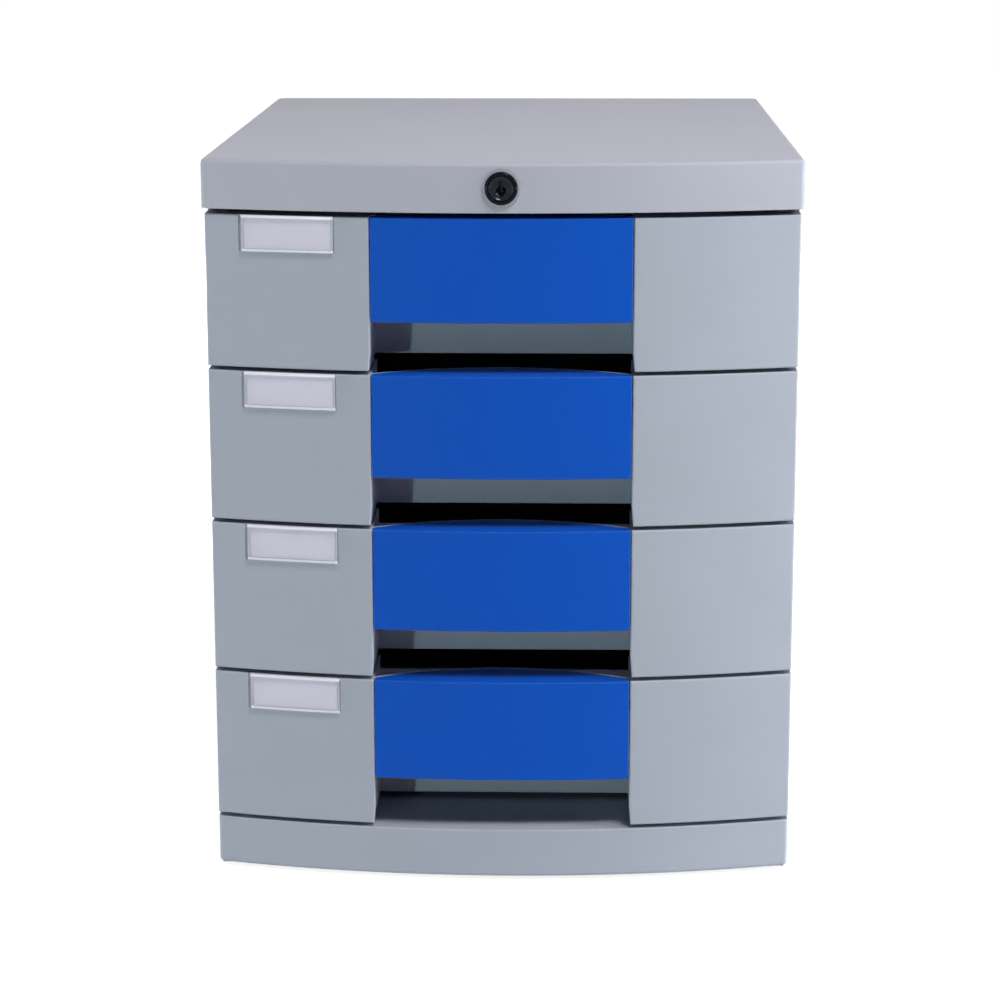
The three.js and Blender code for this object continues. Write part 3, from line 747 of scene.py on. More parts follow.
def moulded_material(name, colour, gloss, grain=0.35, depth=0.06 * MM, clouds=0.02, edge_highlight=0.0, specular=0.5):
    """Moulded plastic or rubber: grain, soft clouds, and slightly paler edges that paint a highlight along
    them.
    """
    made, tree, shader = start_material(name)
    surface = group_node(tree, "Moulded surface", {
        "Colour": linear(colour), "Grain size": grain, "Clouds": clouds,
        "Gloss low": gloss[0], "Gloss high": gloss[1]}).outputs
    highlit = group_node(tree, "Painted edge highlight", {"Amount": edge_highlight}).outputs["Mask"]
    # Base Color mixes in the painted highlight along the edges.
    set_inputs(tree, shader, {
        "Base Color": mixed(tree, highlit, surface["Colour"], PAINTED_HIGHLIGHT),
        "Roughness": surface["Roughness"],
        "Normal": bump(tree, surface["Height"], depth, 0.5),
        "Specular IOR Level": specular})


def outside_ring(tree, radius):
    """0 within a radius of the lock's axis, and 1 outside it."""
    flat = vector_maths(tree, "MULTIPLY", object_place(tree), (1, 0, 1))[0]
    away = vector_maths(tree, "DISTANCE", flat, (0, 0, LOCK_Z * MM))["Value"]
    return remap(tree, away, radius * MM, (radius + RING_SOFT) * MM)


def metal_material(name, colour, gloss, depth=0.01 * MM, centre=None, centre_gloss=None, radius=0.0):
    """Metal in one colour and gloss, or with others round the lock's axis."""
    made, tree, shader = start_material(name)
    tint = linear(colour)[:3]
    ends = gloss
    if centre:
        outside = outside_ring(tree, radius)
        tint = mixed(tree, outside, linear(centre), linear(colour))
        ends = [remap(tree, outside, 0.0, 1.0, near, far) for near, far in zip(centre_gloss, gloss)]
    surface = group_node(tree, "Metal surface", {
        "Stretch": ALONG_BAR, "Gloss low": ends[0], "Gloss high": ends[1]}).outputs
    set_inputs(tree, shader, {
        "Base Color": scaled(tree, tint, surface["Tone"]),
        "Roughness": surface["Roughness"],
        "Normal": bump(tree, surface["Height"], depth, 0.3),
        "Metallic": 1.0})


def card_material(name, colour):
    """Uncoated card with a faint fibre pattern."""
    made, tree, shader = start_material(name)
    longer = vector_maths(tree, "MULTIPLY", object_place(tree), ALONG_CARD)[0]
    fibre = noise(tree, longer, FIBRE_SCALE, 4.0)
    set_inputs(tree, shader, {
        "Base Color": scaled(tree, linear(colour)[:3], remap(tree, fibre, *USUAL, 0.96, 1.03)),
        "Roughness": 0.8,
        "Normal": bump(tree, fibre, 0.03 * MM, 0.3)})


def clear_material(name, colour):
    """Clear plastic: see-through in the flat, and pale and nearly opaque along its rims, which paints the
    highlight that they catch.
    """
    made, tree, shader = start_material(name)
    rim = node(tree, "ShaderNodeAttribute", attribute_name="rim").outputs["Fac"]
    haze = noise(tree, object_place(tree), HAZE_SCALE, 2.0)
    set_inputs(tree, shader, {
        "Base Color": linear(colour),
        "Roughness": remap(tree, haze, *USUAL, 0.28, 0.4),
        # Alpha rises along the rims: a painted highlight.
        "Alpha": remap(tree, rim, 0.0, 1.0, 0.08, 0.85)})


def finishes():
    """The materials, made once and then taken by name."""
    if "Grey moulding" not in bpy.data.materials:
        moulded_group()
        edge_highlight_group()
        metal_group()
        tint = colours()
        # The mouldings get a painted highlight along their edges, the blue ones less.
        moulded_material("Grey moulding", tint.grey, (0.52, 0.6), edge_highlight=0.5, specular=0.25)
        # The lid takes a lighter copy of the grey, which paints the stronger light on the top.
        moulded_material("Lid moulding painted lighter", tint.lid, (0.52, 0.6), edge_highlight=0.5, specular=0.25)
        moulded_material("Blue moulding", tint.blue, (0.48, 0.56), edge_highlight=0.15, specular=0.12)
        moulded_material("Nylon moulding", tint.nylon, (0.45, 0.55), grain=0.6)
        moulded_material(
            "Foot rubber", tint.rubber, (0.75, 0.9), grain=0.8, depth=0.1 * MM, clouds=0.08, specular=0.3)
        card_material("Label card", tint.card)
        clear_material("Clear holder", tint.clear)
        metal_material(
            "Lock plating", (0.50, 0.50, 0.54), (0.55, 0.65), depth=0.004 * MM,
            centre=(0.09, 0.09, 0.11), centre_gloss=(0.16, 0.24), radius=RING_RADIUS)
        metal_material("Black plating", (0.14, 0.145, 0.17), (0.16, 0.26))
        metal_material("Zinc plated steel", (0.74, 0.75, 0.77), (0.28, 0.45))
    return bpy.data.materials


# The pieces.

class FILEDRAWER_OT_cover(bpy.types.Operator):
    """Models the top cover with its lock hole, rod hangers and screw bosses"""
    bl_idname = "file_drawer.cover"
    bl_label = "Top cover"

    def hanger(self, y, plate):
        """A plate under the cover that carries the lock's rod."""
        low = LOCK_Z - HANGER_DROP
        half = SHELL / 2
        hanger = add_box("hanger", (-HANGER_HALF, HANGER_HALF), (y - half, y + half), (low, plate + PAST))
        return round_edges(
            hanger, lambda m, a: m.z < low + NEAR and front_to_back(a), sizes().front_round, 3)

    def execute(self, context):
        size = sizes()
        half = BODY_HALF + COVER_OUT
        rear = BODY_REAR + COVER_OUT
        plate = COVER_TOP - SHELL
        shell = add_bowed("cover_shell", (-half, half), -COVER_OUT, rear, (COVER_BOTTOM, COVER_TOP))
        round_corners(shell)
        round_edges(shell, lambda m, a: m.z > COVER_TOP - NEAR, size.cover_round, 6)
        round_edges(shell, lambda m, a: m.z < COVER_BOTTOM + NEAR, size.front_round / 2, 3)
        wall = SHELL - COVER_OUT
        inner = BODY_HALF - wall
        hollow_out(shell, (-inner, inner), wall, BODY_REAR - wall, COVER_BOTTOM - SHELL, plate)
        for y in HANGER_YS:
            join(shell, self.hanger(y, plate))
            cut(shell, on_lock("hole", HANGER_HOLE, y - SHELL, y + SHELL, FULL_SIDES))
        for side in SIDES:
            for y in COVER_BOSS_YS:
                place = (side * FLANGE_SCREW_X, y)
                join(shell, add_rod("boss", "Z", COVER_BOSS, place, COVER_BOTTOM, plate + PAST, BOSS_SIDES))
                cut(shell, screw_hole(place, COVER_BOTTOM - SHELL, COVER_BOTTOM + COVER_PILOT))
        cut(shell, on_lock("lock_hole", BARREL_HOLE, BEZEL_FRONT, COVER_WALL_REAR))
        finish_mesh(shell, size.small_round)
        dress(shell, "Lid moulding painted lighter", "cabinet", "grey_plastic", "top_cover")
        return {"FINISHED"}


class FILEDRAWER_OT_base(bpy.types.Operator):
    """Models the hollow base with its foot pads and screw holes"""
    bl_idname = "file_drawer.base"
    bl_label = "Base"

    def execute(self, context):
        size = sizes()
        plate = BASE_TOP - SHELL
        shell = add_bowed("base_shell", (-BODY_HALF, BODY_HALF), 0, BODY_REAR, (BASE_BOTTOM, BASE_TOP))
        round_corners(shell)
        round_edges(shell, lambda m, a: m.z < BASE_BOTTOM + NEAR, size.base_round, 5)
        round_edges(shell, lambda m, a: m.z > BASE_TOP - NEAR, size.front_round / 2, 3)
        hollow_out(shell, (-PANEL_INNER, PANEL_INNER), SHELL, BODY_REAR - SHELL, BASE_BOTTOM - PAST, plate)
        for node_name in FEET:
            place = foot_ends(node_name)[0]
            join(shell, add_rod("pad", "Z", PAD_RADIUS, place, BASE_BOTTOM, plate + PAST))
            cut(shell, add_rod(
                "socket", "Z", FOOT_SOCKET, place, BASE_BOTTOM - PAST, BASE_BOTTOM + FOOT_SOCKET_DEPTH))
        for side in SIDES:
            for y in BASE_SCREW_YS:
                cut(shell, screw_hole((side * FLANGE_SCREW_X, y), plate - PAST, BASE_TOP + PAST))
        finish_mesh(shell, size.small_round)
        dress(shell, "Grey moulding", "cabinet", "grey_plastic", "base")
        return {"FINISHED"}


class FILEDRAWER_OT_panels(bpy.types.Operator):
    """Models the side panels with their runners, keepers and stops, and the back panel"""
    bl_idname = "file_drawer.panels"
    bl_label = "Side and back panels"

    def side(self, name):
        size = sizes()
        into = PANEL_INNER + SHELL / 2
        rear = FLANGE_REAR - SHELL
        panel = add_box(name, (PANEL_INNER, BODY_HALF), (PANEL_FRONT, BODY_REAR), (PANEL_LOW, PANEL_HIGH))
        round_edges(
            panel, lambda m, a: upright(a) and m.y > 0 and m.x > BODY_HALF - NEAR, size.cover_round, 5)
        flange = add_box("flange", (FLANGE_INNER, into), (PANEL_FRONT, FLANGE_REAR), (PANEL_LOW, PANEL_HIGH))
        inside = add_box("inside", (FLANGE_INNER - PAST, into + PAST), (PANEL_FRONT - PAST, rear),
                         (PANEL_LOW + SHELL, PANEL_HIGH - SHELL))
        join(panel, cut(flange, inside))
        for level in range(1, DRAWERS + 1):
            low = seam(level)
            for heights in (RUNNER_ZS, KEEPER_ZS):
                rib = add_box("rib", (RIB_INNER, into), RIB_YS, over(low, heights))
                round_edges(rib, lambda m, a: upright(a) and m.x < RIB_INNER + NEAR, size.front_round * 2, 4)
                join(panel, rib)
            join(panel, add_box("stop", (STOP_INNER, into), STOP_YS, over(low, STOP_ZS)))
        for y in BASE_SCREW_YS:
            cut(panel, screw_hole((FLANGE_SCREW_X, y), PANEL_LOW - PAST, PANEL_LOW + FLANGE_HOLE))
        for y in COVER_BOSS_YS:
            cut(panel, screw_hole((FLANGE_SCREW_X, y), PANEL_HIGH - FLANGE_HOLE, PANEL_HIGH + PAST))
        for z in BACK_SCREW_ZS:
            cut(panel, screw_hole((FLANGE_SCREW_X, z), rear - PAST, BACK_FRONT, "Y"))
        return panel

    def back(self):
        size = sizes()
        half = PANEL_INNER - BACK_PLAY
        back = add_box("back_plate", (-half, half), (BACK_FRONT, BACK_REAR), (PANEL_LOW, PANEL_HIGH))
        round_edges(back, lambda m, a: front_to_back(a), size.front_round * 2, 4)
        ends = (BACK_FRONT - PAST, BACK_REAR + PAST)
        for z in BACK_SCREW_ZS:
            for side in SIDES:
                cut(back, screw_hole((side * FLANGE_SCREW_X, z), *ends, "Y"))
        for level in (1, DRAWERS):
            for side in SIDES:
                place = (side * GUIDE_PEG_X, seam(level) + GUIDE_PEG_Z)
                cut(back, add_rod("hole", "Y", GUIDE_PEG_HOLE, place, *ends, BOSS_SIDES))
        return back

    def execute(self, context):
        right = self.side("side_right")
        left = mirrored(right, "side_left")
        for panel, node_name in (
                (right, "side_panel_right"), (left, "side_panel_left"), (self.back(), "back_panel")):
            finish_mesh(panel, sizes().small_round)
            dress(panel, "Grey moulding", "cabinet", "grey_plastic", node_name)
        return {"FINISHED"}


class FILEDRAWER_OT_trays(bpy.types.Operator):
    """Models one tray with its rims, stop lugs and catch plate, and copies it for each drawer"""
    bl_idname = "file_drawer.trays"
    bl_label = "Trays"

    def catch_plate(self, low):
        """The plate behind the tray that the locking bar's tooth drops into."""
        bottom, top = over(low, CATCH_ZS)
        plate = add_box("catch", (-CATCH_HALF, CATCH_HALF), (TRAY_REAR - PAST, CATCH_REAR), (bottom, top))
        round_edges(
            plate, lambda m, a: upright(a) and m.y > CATCH_REAR - NEAR, sizes().front_round * 2, 4)
        half = CATCH_SLOT_HALF
        return cut(plate, add_box("slot", (-half, half), CATCH_SLOT_YS, (bottom - PAST, top + PAST)))

    def execute(self, context):
        size = sizes()
        low = seam(DRAWERS)
        bottom = low + TRAY_BOTTOM
        rim_ys = (TRAY_FRONT + RIM_SHORTER, TRAY_REAR - RIM_SHORTER)
        tray = add_box("tray_shell_4", (-TRAY_HALF, TRAY_HALF), (TRAY_FRONT, TRAY_REAR),
                       (bottom, low + TRAY_RIM))
        round_edges(tray, lambda m, a: upright(a), size.tray_corner, 5)
        round_edges(tray, lambda m, a: m.z < bottom + NEAR, size.front_round, 3)
        for side in SIDES:
            rim = add_box("rim", on_side(side, *RIM_XS), rim_ys, over(low, (RIM_LOW, TRAY_RIM)))
            round_edges(rim, lambda m, a: upright(a) and abs(m.x) > RIM_XS[1] - NEAR, size.tray_corner, 4)
            join(tray, rim)
        inner = TRAY_HALF - TRAY_WALL
        floor = bottom + TRAY_WALL
        hollow = add_box("hollow", (-inner, inner), (TRAY_FRONT + TRAY_WALL, TRAY_REAR - TRAY_WALL),
                         (floor, low + TRAY_RIM + FAR_PAST))
        round_edges(hollow, lambda m, a: upright(a), size.tray_corner, 5)
        round_edges(hollow, lambda m, a: m.z < floor + NEAR, size.tray_corner * 0.7, 4)
        cut(tray, hollow)
        for side in SIDES:
            top = low + STOP_LUG_TOP
            lug = add_box("lug", on_side(side, *STOP_LUG_XS), STOP_LUG_YS, (low + RIM_LOW, top))
            round_edges(lug, lambda m, a: m.z > top - NEAR and abs(a.x) > 0.9, size.front_round, 3)
            join(tray, lug)
            cut(tray, screw_hole(
                (side * BOSS_X, low + BOSS_Z), TRAY_FRONT - PAST, TRAY_FRONT + TRAY_WALL + PAST, "Y"))
        join(tray, self.catch_plate(low))
        finish_mesh(tray, size.small_round)
        in_each_drawer(tray, "tray_shell", "Grey moulding", "grey_plastic", "tray")
        return {"FINISHED"}


class FILEDRAWER_OT_fronts(bpy.types.Operator):
    """Models one drawer front with its two bowed wings, recess and bridge, and copies it"""
    bl_idname = "file_drawer.fronts"
    bl_label = "Drawer fronts"

    def body(self, low):
        bottom, top = over(low, (FRONT_BOTTOM, FRONT_TOP))
        through = (bottom - FAR_PAST, top + FAR_PAST)
        middle = (-RECESS_HALF, RECESS_HALF)
        front = add_bowed("front_shell_4", (-BODY_HALF, BODY_HALF), 0, WALL_REAR, (bottom, top))
        recess = add_box("recess", middle, (RECESS_AHEAD, RECESS_BACK), through)
        self.flare(recess, bottom)
        behind = (RECESS_BACK - PAST, INSIDE_REAR)
        cut(front, recess, add_box("over_wall", middle, behind, (low + WALL_TOP, through[1])))
        round_edges(
            front, lambda m, a: m.y < WING_BACK + PAST and (abs(a.z) > 0.6 or m.y < WING_ROUND_BACK),
            sizes().front_round, 4)
        inner = RECESS_HALF + SHELL
        for side in SIDES:
            cut(front, add_bowed("hollow", on_side(side, inner, PANEL_INNER), SHELL, INSIDE_REAR,
                                 (bottom + SHELL, top - SHELL)))
            cut(front, add_box("rear", on_side(side, inner, BODY_HALF + FAR_PAST), (WING_BACK, INSIDE_REAR),
                               through))
        wider = RECESS_HALF + FAR_PAST
        under = add_box("under", (-wider, wider), (UNDER_FRONT, INSIDE_REAR), (through[0], low + TRAY_BOTTOM))
        return cut(front, under)

    def flare(self, recess, bottom):
        """Draws the recess cutter's lower side edges out a little, so that the recess widens downwards."""
        with editing(recess):
            score((0, 0, bottom + FLARE_HEIGHT), (0, 0, 1))
            select_parts(recess, "VERT", lambda vertex: vertex.co.z < bottom * MM)
            wider = (RECESS_HALF + RECESS_WIDER) / RECESS_HALF
            bpy.ops.transform.resize(value=(wider, 1, 1), center_override=(0, 0, 0))

    def bridge(self, low):
        """The curved rail behind the handle's deck."""
        top = low + FRONT_TOP
        place = (0, DECK_CENTRE)
        bottom = top - BRIDGE_HEIGHT
        rail = add_rod("bridge", "Z", DECK_RADIUS + BRIDGE_OUTER, place, bottom, top, DECK_SIDES)
        cut(rail, add_rod("inner", "Z", DECK_RADIUS + BRIDGE_INNER, place, bottom - FAR_PAST, top + FAR_PAST,
                          DECK_SIDES))
        slice_off(rail, (0, DECK_CENTRE, 0), (0, -1, 0))
        return slice_sides(rail, (-BRIDGE_HALF, BRIDGE_HALF))

    def lug_holes(self, low):
        """A cutter for the holes that the handle's lugs snap into."""
        reach = RECESS_HALF + LUG_REACH
        return add_box(
            "lug_holes", (-reach, reach), (LUG_FRONT - LUG_PLAY, LUG_FRONT + LUG_DEPTH + LUG_PLAY),
            over(low, (LUG_ZS[0] - LUG_PLAY, LUG_ZS[1] + LUG_PLAY)))

    def execute(self, context):
        low = seam(DRAWERS)
        front = self.body(low)
        join(front, self.bridge(low))
        pocket = add_band(
            "pocket", (LABEL_LEFT - POCKET_LEFT, LABEL_RIGHT + POCKET_PLAY), -PAST, POCKET_FLOOR,
            over(low, (LABEL_LOW - POCKET_PLAY, FRONT_TOP + PAST)))
        cut(front, pocket, self.lug_holes(low))
        for side in SIDES:
            place = (side * BOSS_X, low + BOSS_Z)
            join(front, add_rod(
                "boss", "Y", BOSS_RADIUS, place, bow_y(BOSS_X, SHELL / 2), WALL_REAR, BOSS_SIDES))
            cut(front, screw_hole(place, BOSS_HOLE_END, WALL_REAR + PAST, "Y"))
        finish_mesh(front, sizes().small_round)
        in_each_drawer(front, "front_shell", "Grey moulding", "grey_plastic", "front")
        return {"FINISHED"}


class FILEDRAWER_OT_handles(bpy.types.Operator):
    """Models one handle insert with its bowed panel, lens-shaped deck and lugs, and copies it"""
    bl_idname = "file_drawer.handles"
    bl_label = "Handle inserts"

    def execute(self, context):
        size = sizes()
        low = seam(DRAWERS)
        bottom, top = over(low, (HANDLE_LOW, FRONT_TOP))
        handle = add_bowed("handle_insert_4", (-HANDLE_HALF, HANDLE_HALF), 0, BAND_REAR, (bottom, top))
        lens = add_rod(
            "lens", "Z", DECK_RADIUS, (0, DECK_CENTRE), bottom - FAR_PAST, top + FAR_PAST, DECK_SIDES)
        combine(handle, lens, "INTERSECT")
        round_edges(handle, lambda m, a: m.z > top - NEAR and near_bow(m), size.front_round * 0.7)
        round_edges(handle, lambda m, a: m.z < bottom + NEAR and near_bow(m), size.front_round * 0.7)
        wider = HANDLE_HALF + FAR_PAST
        cut(handle, add_bowed("hollow", (-wider, wider), HANDLE_WALL, CORE_REAR,
                              (bottom - FAR_PAST, top - HANDLE_WALL)))
        for side in SIDES:
            join(handle, add_box(
                "lug", on_side(side, *LUG_XS), (LUG_FRONT, LUG_FRONT + LUG_DEPTH), over(low, LUG_ZS)))
        finish_mesh(handle, size.small_round)
        in_each_drawer(handle, "handle_insert", "Blue moulding", "blue_plastic", "handle")
        return {"FINISHED"}


class FILEDRAWER_OT_labels(bpy.types.Operator):
    """Models one clear label holder and its card, and copies them"""
    bl_idname = "file_drawer.labels"
    bl_label = "Label holders and cards"

    def mark_rims(self, holder, low, high):
        """Stores which points lie near a rim, where the clear plastic gets a painted highlight, weaker on the
        side rims.
        """
        layer = holder.data.attributes.new("rim", "FLOAT", "POINT")
        reach = RIM_WIDTH + 2 * NEAR
        for vertex, value in zip(holder.data.vertices, layer.data):
            x, z = vertex.co.x / MM, vertex.co.z / MM
            level = min(z - low, high - z) < reach
            beside = min(x - LABEL_LEFT, LABEL_RIGHT - x) < reach
            # Top and bottom rims get the full painted highlight, the side rims less.
            value.value = 1.0 if level else SIDE_RIM_HIGHLIGHT if beside else 0.0

    def outline_rims(self, holder, low, high):
        """Cuts lines into the holder's faces along the inner side of its rims."""
        with editing(holder):
            for inside in (RIM_WIDTH, RIM_WIDTH + RIM_FADE):
                for x in (LABEL_LEFT + inside, LABEL_RIGHT - inside):
                    score((x, 0, 0), (1, 0, 0))
                for z in (low + inside, high - inside):
                    score((0, 0, z), (0, 0, 1))

    def execute(self, context):
        size = sizes()
        low, high = over(seam(DRAWERS), (LABEL_LOW, FRONT_TOP))
        holder = add_band("label_frame_4", (LABEL_LEFT, LABEL_RIGHT), LABEL_OUT, LABEL_IN, (low, high))
        round_edges(holder, lambda m, a: near_bow(m, LABEL_OUT), size.front_round / 2, 3)
        cut(holder, add_band("slot", (LABEL_LEFT + SLOT_WALL, LABEL_RIGHT - SLOT_WALL), SLOT_OUT, SLOT_IN,
                             (low + SLOT_WALL, high + FAR_PAST)))
        self.outline_rims(holder, low, high)
        finish_mesh(holder, size.small_round / 2)
        self.mark_rims(holder, low, high)
        wall = SLOT_WALL + CARD_PLAY
        card = add_band("label_sheet_4", (LABEL_LEFT + wall, LABEL_RIGHT - wall), CARD_OUT, CARD_IN,
                        (low + wall, high - CARD_PLAY))
        finish_mesh(card, size.small_round / 6)
        for level in range(DRAWERS, 0, -1):
            shift = (0, 0, (DRAWERS - level) * PITCH)
            for first, name, finish, slot, node_name in (
                    (holder, "label_frame", "Clear holder", "clear_plastic", "label_holder"),
                    (card, "label_sheet", "Label card", "card", "label_card")):
                piece = first if level == DRAWERS else copy_of(first, f"{name}_{level}", shift)
                dress(piece, finish, f"drawer_{level}", slot, f"{node_name}_{level}")
        return {"FINISHED"}


class FILEDRAWER_OT_lock(bpy.types.Operator):
    """Models the lock's housing, plug, nut and rod"""
    bl_idname = "file_drawer.lock"
    bl_label = "Lock"

    def housing(self):
        size = sizes()
        flange = BEZEL_FRONT + BEZEL_STEP
        ring = on_lock("lock_bezel", BEZEL_RADIUS, flange, BEZEL_REAR)
        round_edges(ring, lambda m, a: m.y < flange + NEAR, size.front_round * 0.5, 4)
        raised = on_lock("raised", RING_RADIUS, BEZEL_FRONT, BEZEL_REAR - RING_SHORTER)
        round_edges(raised, lambda m, a: m.y < BEZEL_FRONT + NEAR, size.front_round * 1.25, 8)
        join(ring, raised, on_lock("barrel", BARREL_RADIUS, BEZEL_REAR - PAST, BARREL_REAR))
        return cut(ring, on_lock("bore", BARREL_BORE, BEZEL_FRONT - FAR_PAST, BARREL_REAR + FAR_PAST))

    def plug(self):
        face = BEZEL_FRONT + PLUG_SET_BACK
        floor = face + PLUG_DISH
        plug = on_lock("lock_core", PLUG_RADIUS, face, BARREL_REAR + PLUG_LONGER)
        with editing(plug):
            select_parts(plug, "FACE", lambda flat: flat.normal.y < -0.9)
            bpy.ops.mesh.inset(thickness=PLUG_LIP * MM)
            bpy.ops.mesh.inset(thickness=PLUG_SLOPE * MM, depth=-PLUG_DISH * MM)
        cut(plug, add_taper("mouth", (0, LOCK_Z - MOUTH_DROP), MOUTH_RADII, floor + MOUTH_YS[0],
                            floor + MOUTH_YS[1], MOUTH_SIDES))
        cut(plug, block_on_lock("keyway", KEYWAY_HALF, face - FAR_PAST, face + KEYWAY_DEPTH, KEYWAY_TALL))
        return join(plug, block_on_lock("tang", TANG_HALF, BARREL_REAR - PAST, BARREL_REAR + TANG_LENGTH))

    def nut(self):
        low, high = NUT_YS
        nut = on_lock("lock_ring_nut", NUT_ACROSS / 2 / math.cos(math.pi / 6), low, high, 6)
        round_edges(nut, lambda m, a: across(a), sizes().front_round / 2, 2)
        return cut(nut, on_lock("hole", BARREL_HOLE, low - PAST, high + PAST, FULL_SIDES))

    def rod(self):
        start = BARREL_REAR + ROD_GAP
        end = ROD_REAR - ROD_SHORTER
        rod = on_lock("lock_shaft", ROD_RADIUS, start, end, ROD_SIDES)
        collar = on_lock("collar", COLLAR_RADIUS, start, start + COLLAR_LENGTH, ROD_SIDES)
        round_edges(collar, lambda m, a: across(a), sizes().front_round * 0.7, 3)
        join(rod, collar, block_on_lock("square_end", ROD_SQUARE, end - PAST, ROD_REAR + ROD_SQUARE_LENGTH))
        return cut(rod, block_on_lock("socket", SOCKET_HALF, start - PAST, start + TANG_LENGTH))

    def execute(self, context):
        for piece, finish, body, slot, node_name in (
                (self.housing(), "Lock plating", "cabinet", "chrome", "lock_housing"),
                (self.nut(), "Zinc plated steel", "cabinet", "steel", "lock_nut"),
                (self.plug(), "Black plating", "lock_turning", "dark_metal", "lock_plug"),
                (self.rod(), "Zinc plated steel", "lock_turning", "steel", "lock_rod")):
            finish_mesh(piece, sizes().small_round / 2)
            dress(piece, finish, body, slot, node_name)
        return {"FINISHED"}


FEET = ("foot_front_left", "foot_front_right", "foot_rear_left", "foot_rear_right")


def foot_ends(node_name):
    """Where a foot stands, and its lower and upper end."""
    low, high = (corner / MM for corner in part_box(node_name))
    return ((low.x + high.x) / 2, (low.y + high.y) / 2), low.z, high.z


class FILEDRAWER_OT_feet(bpy.types.Operator):
    """Models one rubber foot and copies it under each corner of the base"""
    bl_idname = "file_drawer.feet"
    bl_label = "Feet"

    def execute(self, context):
        size = sizes()
        first, low, high = foot_ends(FEET[0])
        foot = add_rod("rubber_" + FEET[0], "Z", FOOT_RADIUS, first, low, high, LOCK_SIDES)
        round_edges(foot, lambda m, a: m.z < low + NEAR, size.front_round * 0.8, 4)
        cut(foot, add_rod("cup", "Z", FOOT_CUP, first, low - PAST, low + FOOT_CUP_DEPTH))
        finish_mesh(foot, size.small_round / 2)
        for node_name in FEET:
            place = foot_ends(node_name)[0]
            shift = (place[0] - first[0], place[1] - first[1], 0)
            piece = foot if node_name == FEET[0] else copy_of(foot, "rubber_" + node_name, shift)
            dress(piece, "Foot rubber", "cabinet", "rubber", node_name)
        return {"FINISHED"}


class FILEDRAWER_OT_fittings(bpy.types.Operator):
    """Gives the small fittings that keep their CAD shape their finishes"""
    bl_idname = "file_drawer.fittings"
    bl_label = "Small fittings"

    def execute(self, context):
        finish = finishes()
        for name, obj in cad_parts.items():
            if obj.hide_render:
                continue
            chosen = "Nylon moulding" if name.startswith("bar_guide") else "Zinc plated steel"
            obj.data.materials.clear()
            obj.data.materials.append(finish[chosen])
        return {"FINISHED"}


# Stage. Its own lengths are metres, and its angles are degrees.

AIM = Vector((0, -0.15, 0.19))
LAMP_DISTANCE = 2.4
LEFT_SHARE = 0.5
SIDE_LAMP = (0.5, 0.3)
FRONT_LAMP = (0.8, 0.4)
LOW_LAMP = (0.06, 0.06)
REAR_LAMP = (1.2, 0.3)
COOL = (0.74, 1.0, 0.96)
WARM = (1.0, 0.93, 0.92)
ROSE = (1.0, 0.95, 0.95)
FRESH = (0.96, 1.0, 1.0)
PLAIN = (1, 1, 1)
FLOOR_SIZE = 60
FLOOR_NEAR = 0.3
FLOOR_FAR = 1.2
FLOOR_UNDER = 0.85
CAMERA_PLACE = (0.0353, -1.57665, 0.5153)
CAMERA_TURN = (-1.497, 12.727, -0.068)
CAMERA_SENSOR = 36
CAMERA_LENS = 100.63


def studio_lamp(name, azimuth, elevation, extent, power, colour):
    """A soft lamp at an angle from the front, to the right and up, that faces the object."""
    around, above = math.radians(azimuth), math.radians(elevation)
    way = Vector((math.sin(around) * math.cos(above), -math.cos(around) * math.cos(above), math.sin(above)))
    bpy.ops.object.light_add(type="AREA", location=AIM + LAMP_DISTANCE * way)
    lamp = bpy.context.active_object
    lamp.name = name
    lamp.data.shape = "RECTANGLE"
    lamp.data.size, lamp.data.size_y = extent
    lamp.data.energy = power
    lamp.data.color = colour
    lamp.rotation_euler = way.to_track_quat("Z", "Y").to_euler()


def seen_directly(tree):
    """1 where the camera, a mirror or clear plastic looks, and 0 for the light that falls on things."""
    path = node(tree, "ShaderNodeLightPath").outputs
    seen = maths(tree, "MAXIMUM", path["Is Camera Ray"], path["Is Glossy Ray"])
    return maths(tree, "MAXIMUM", seen, path["Is Transmission Ray"])


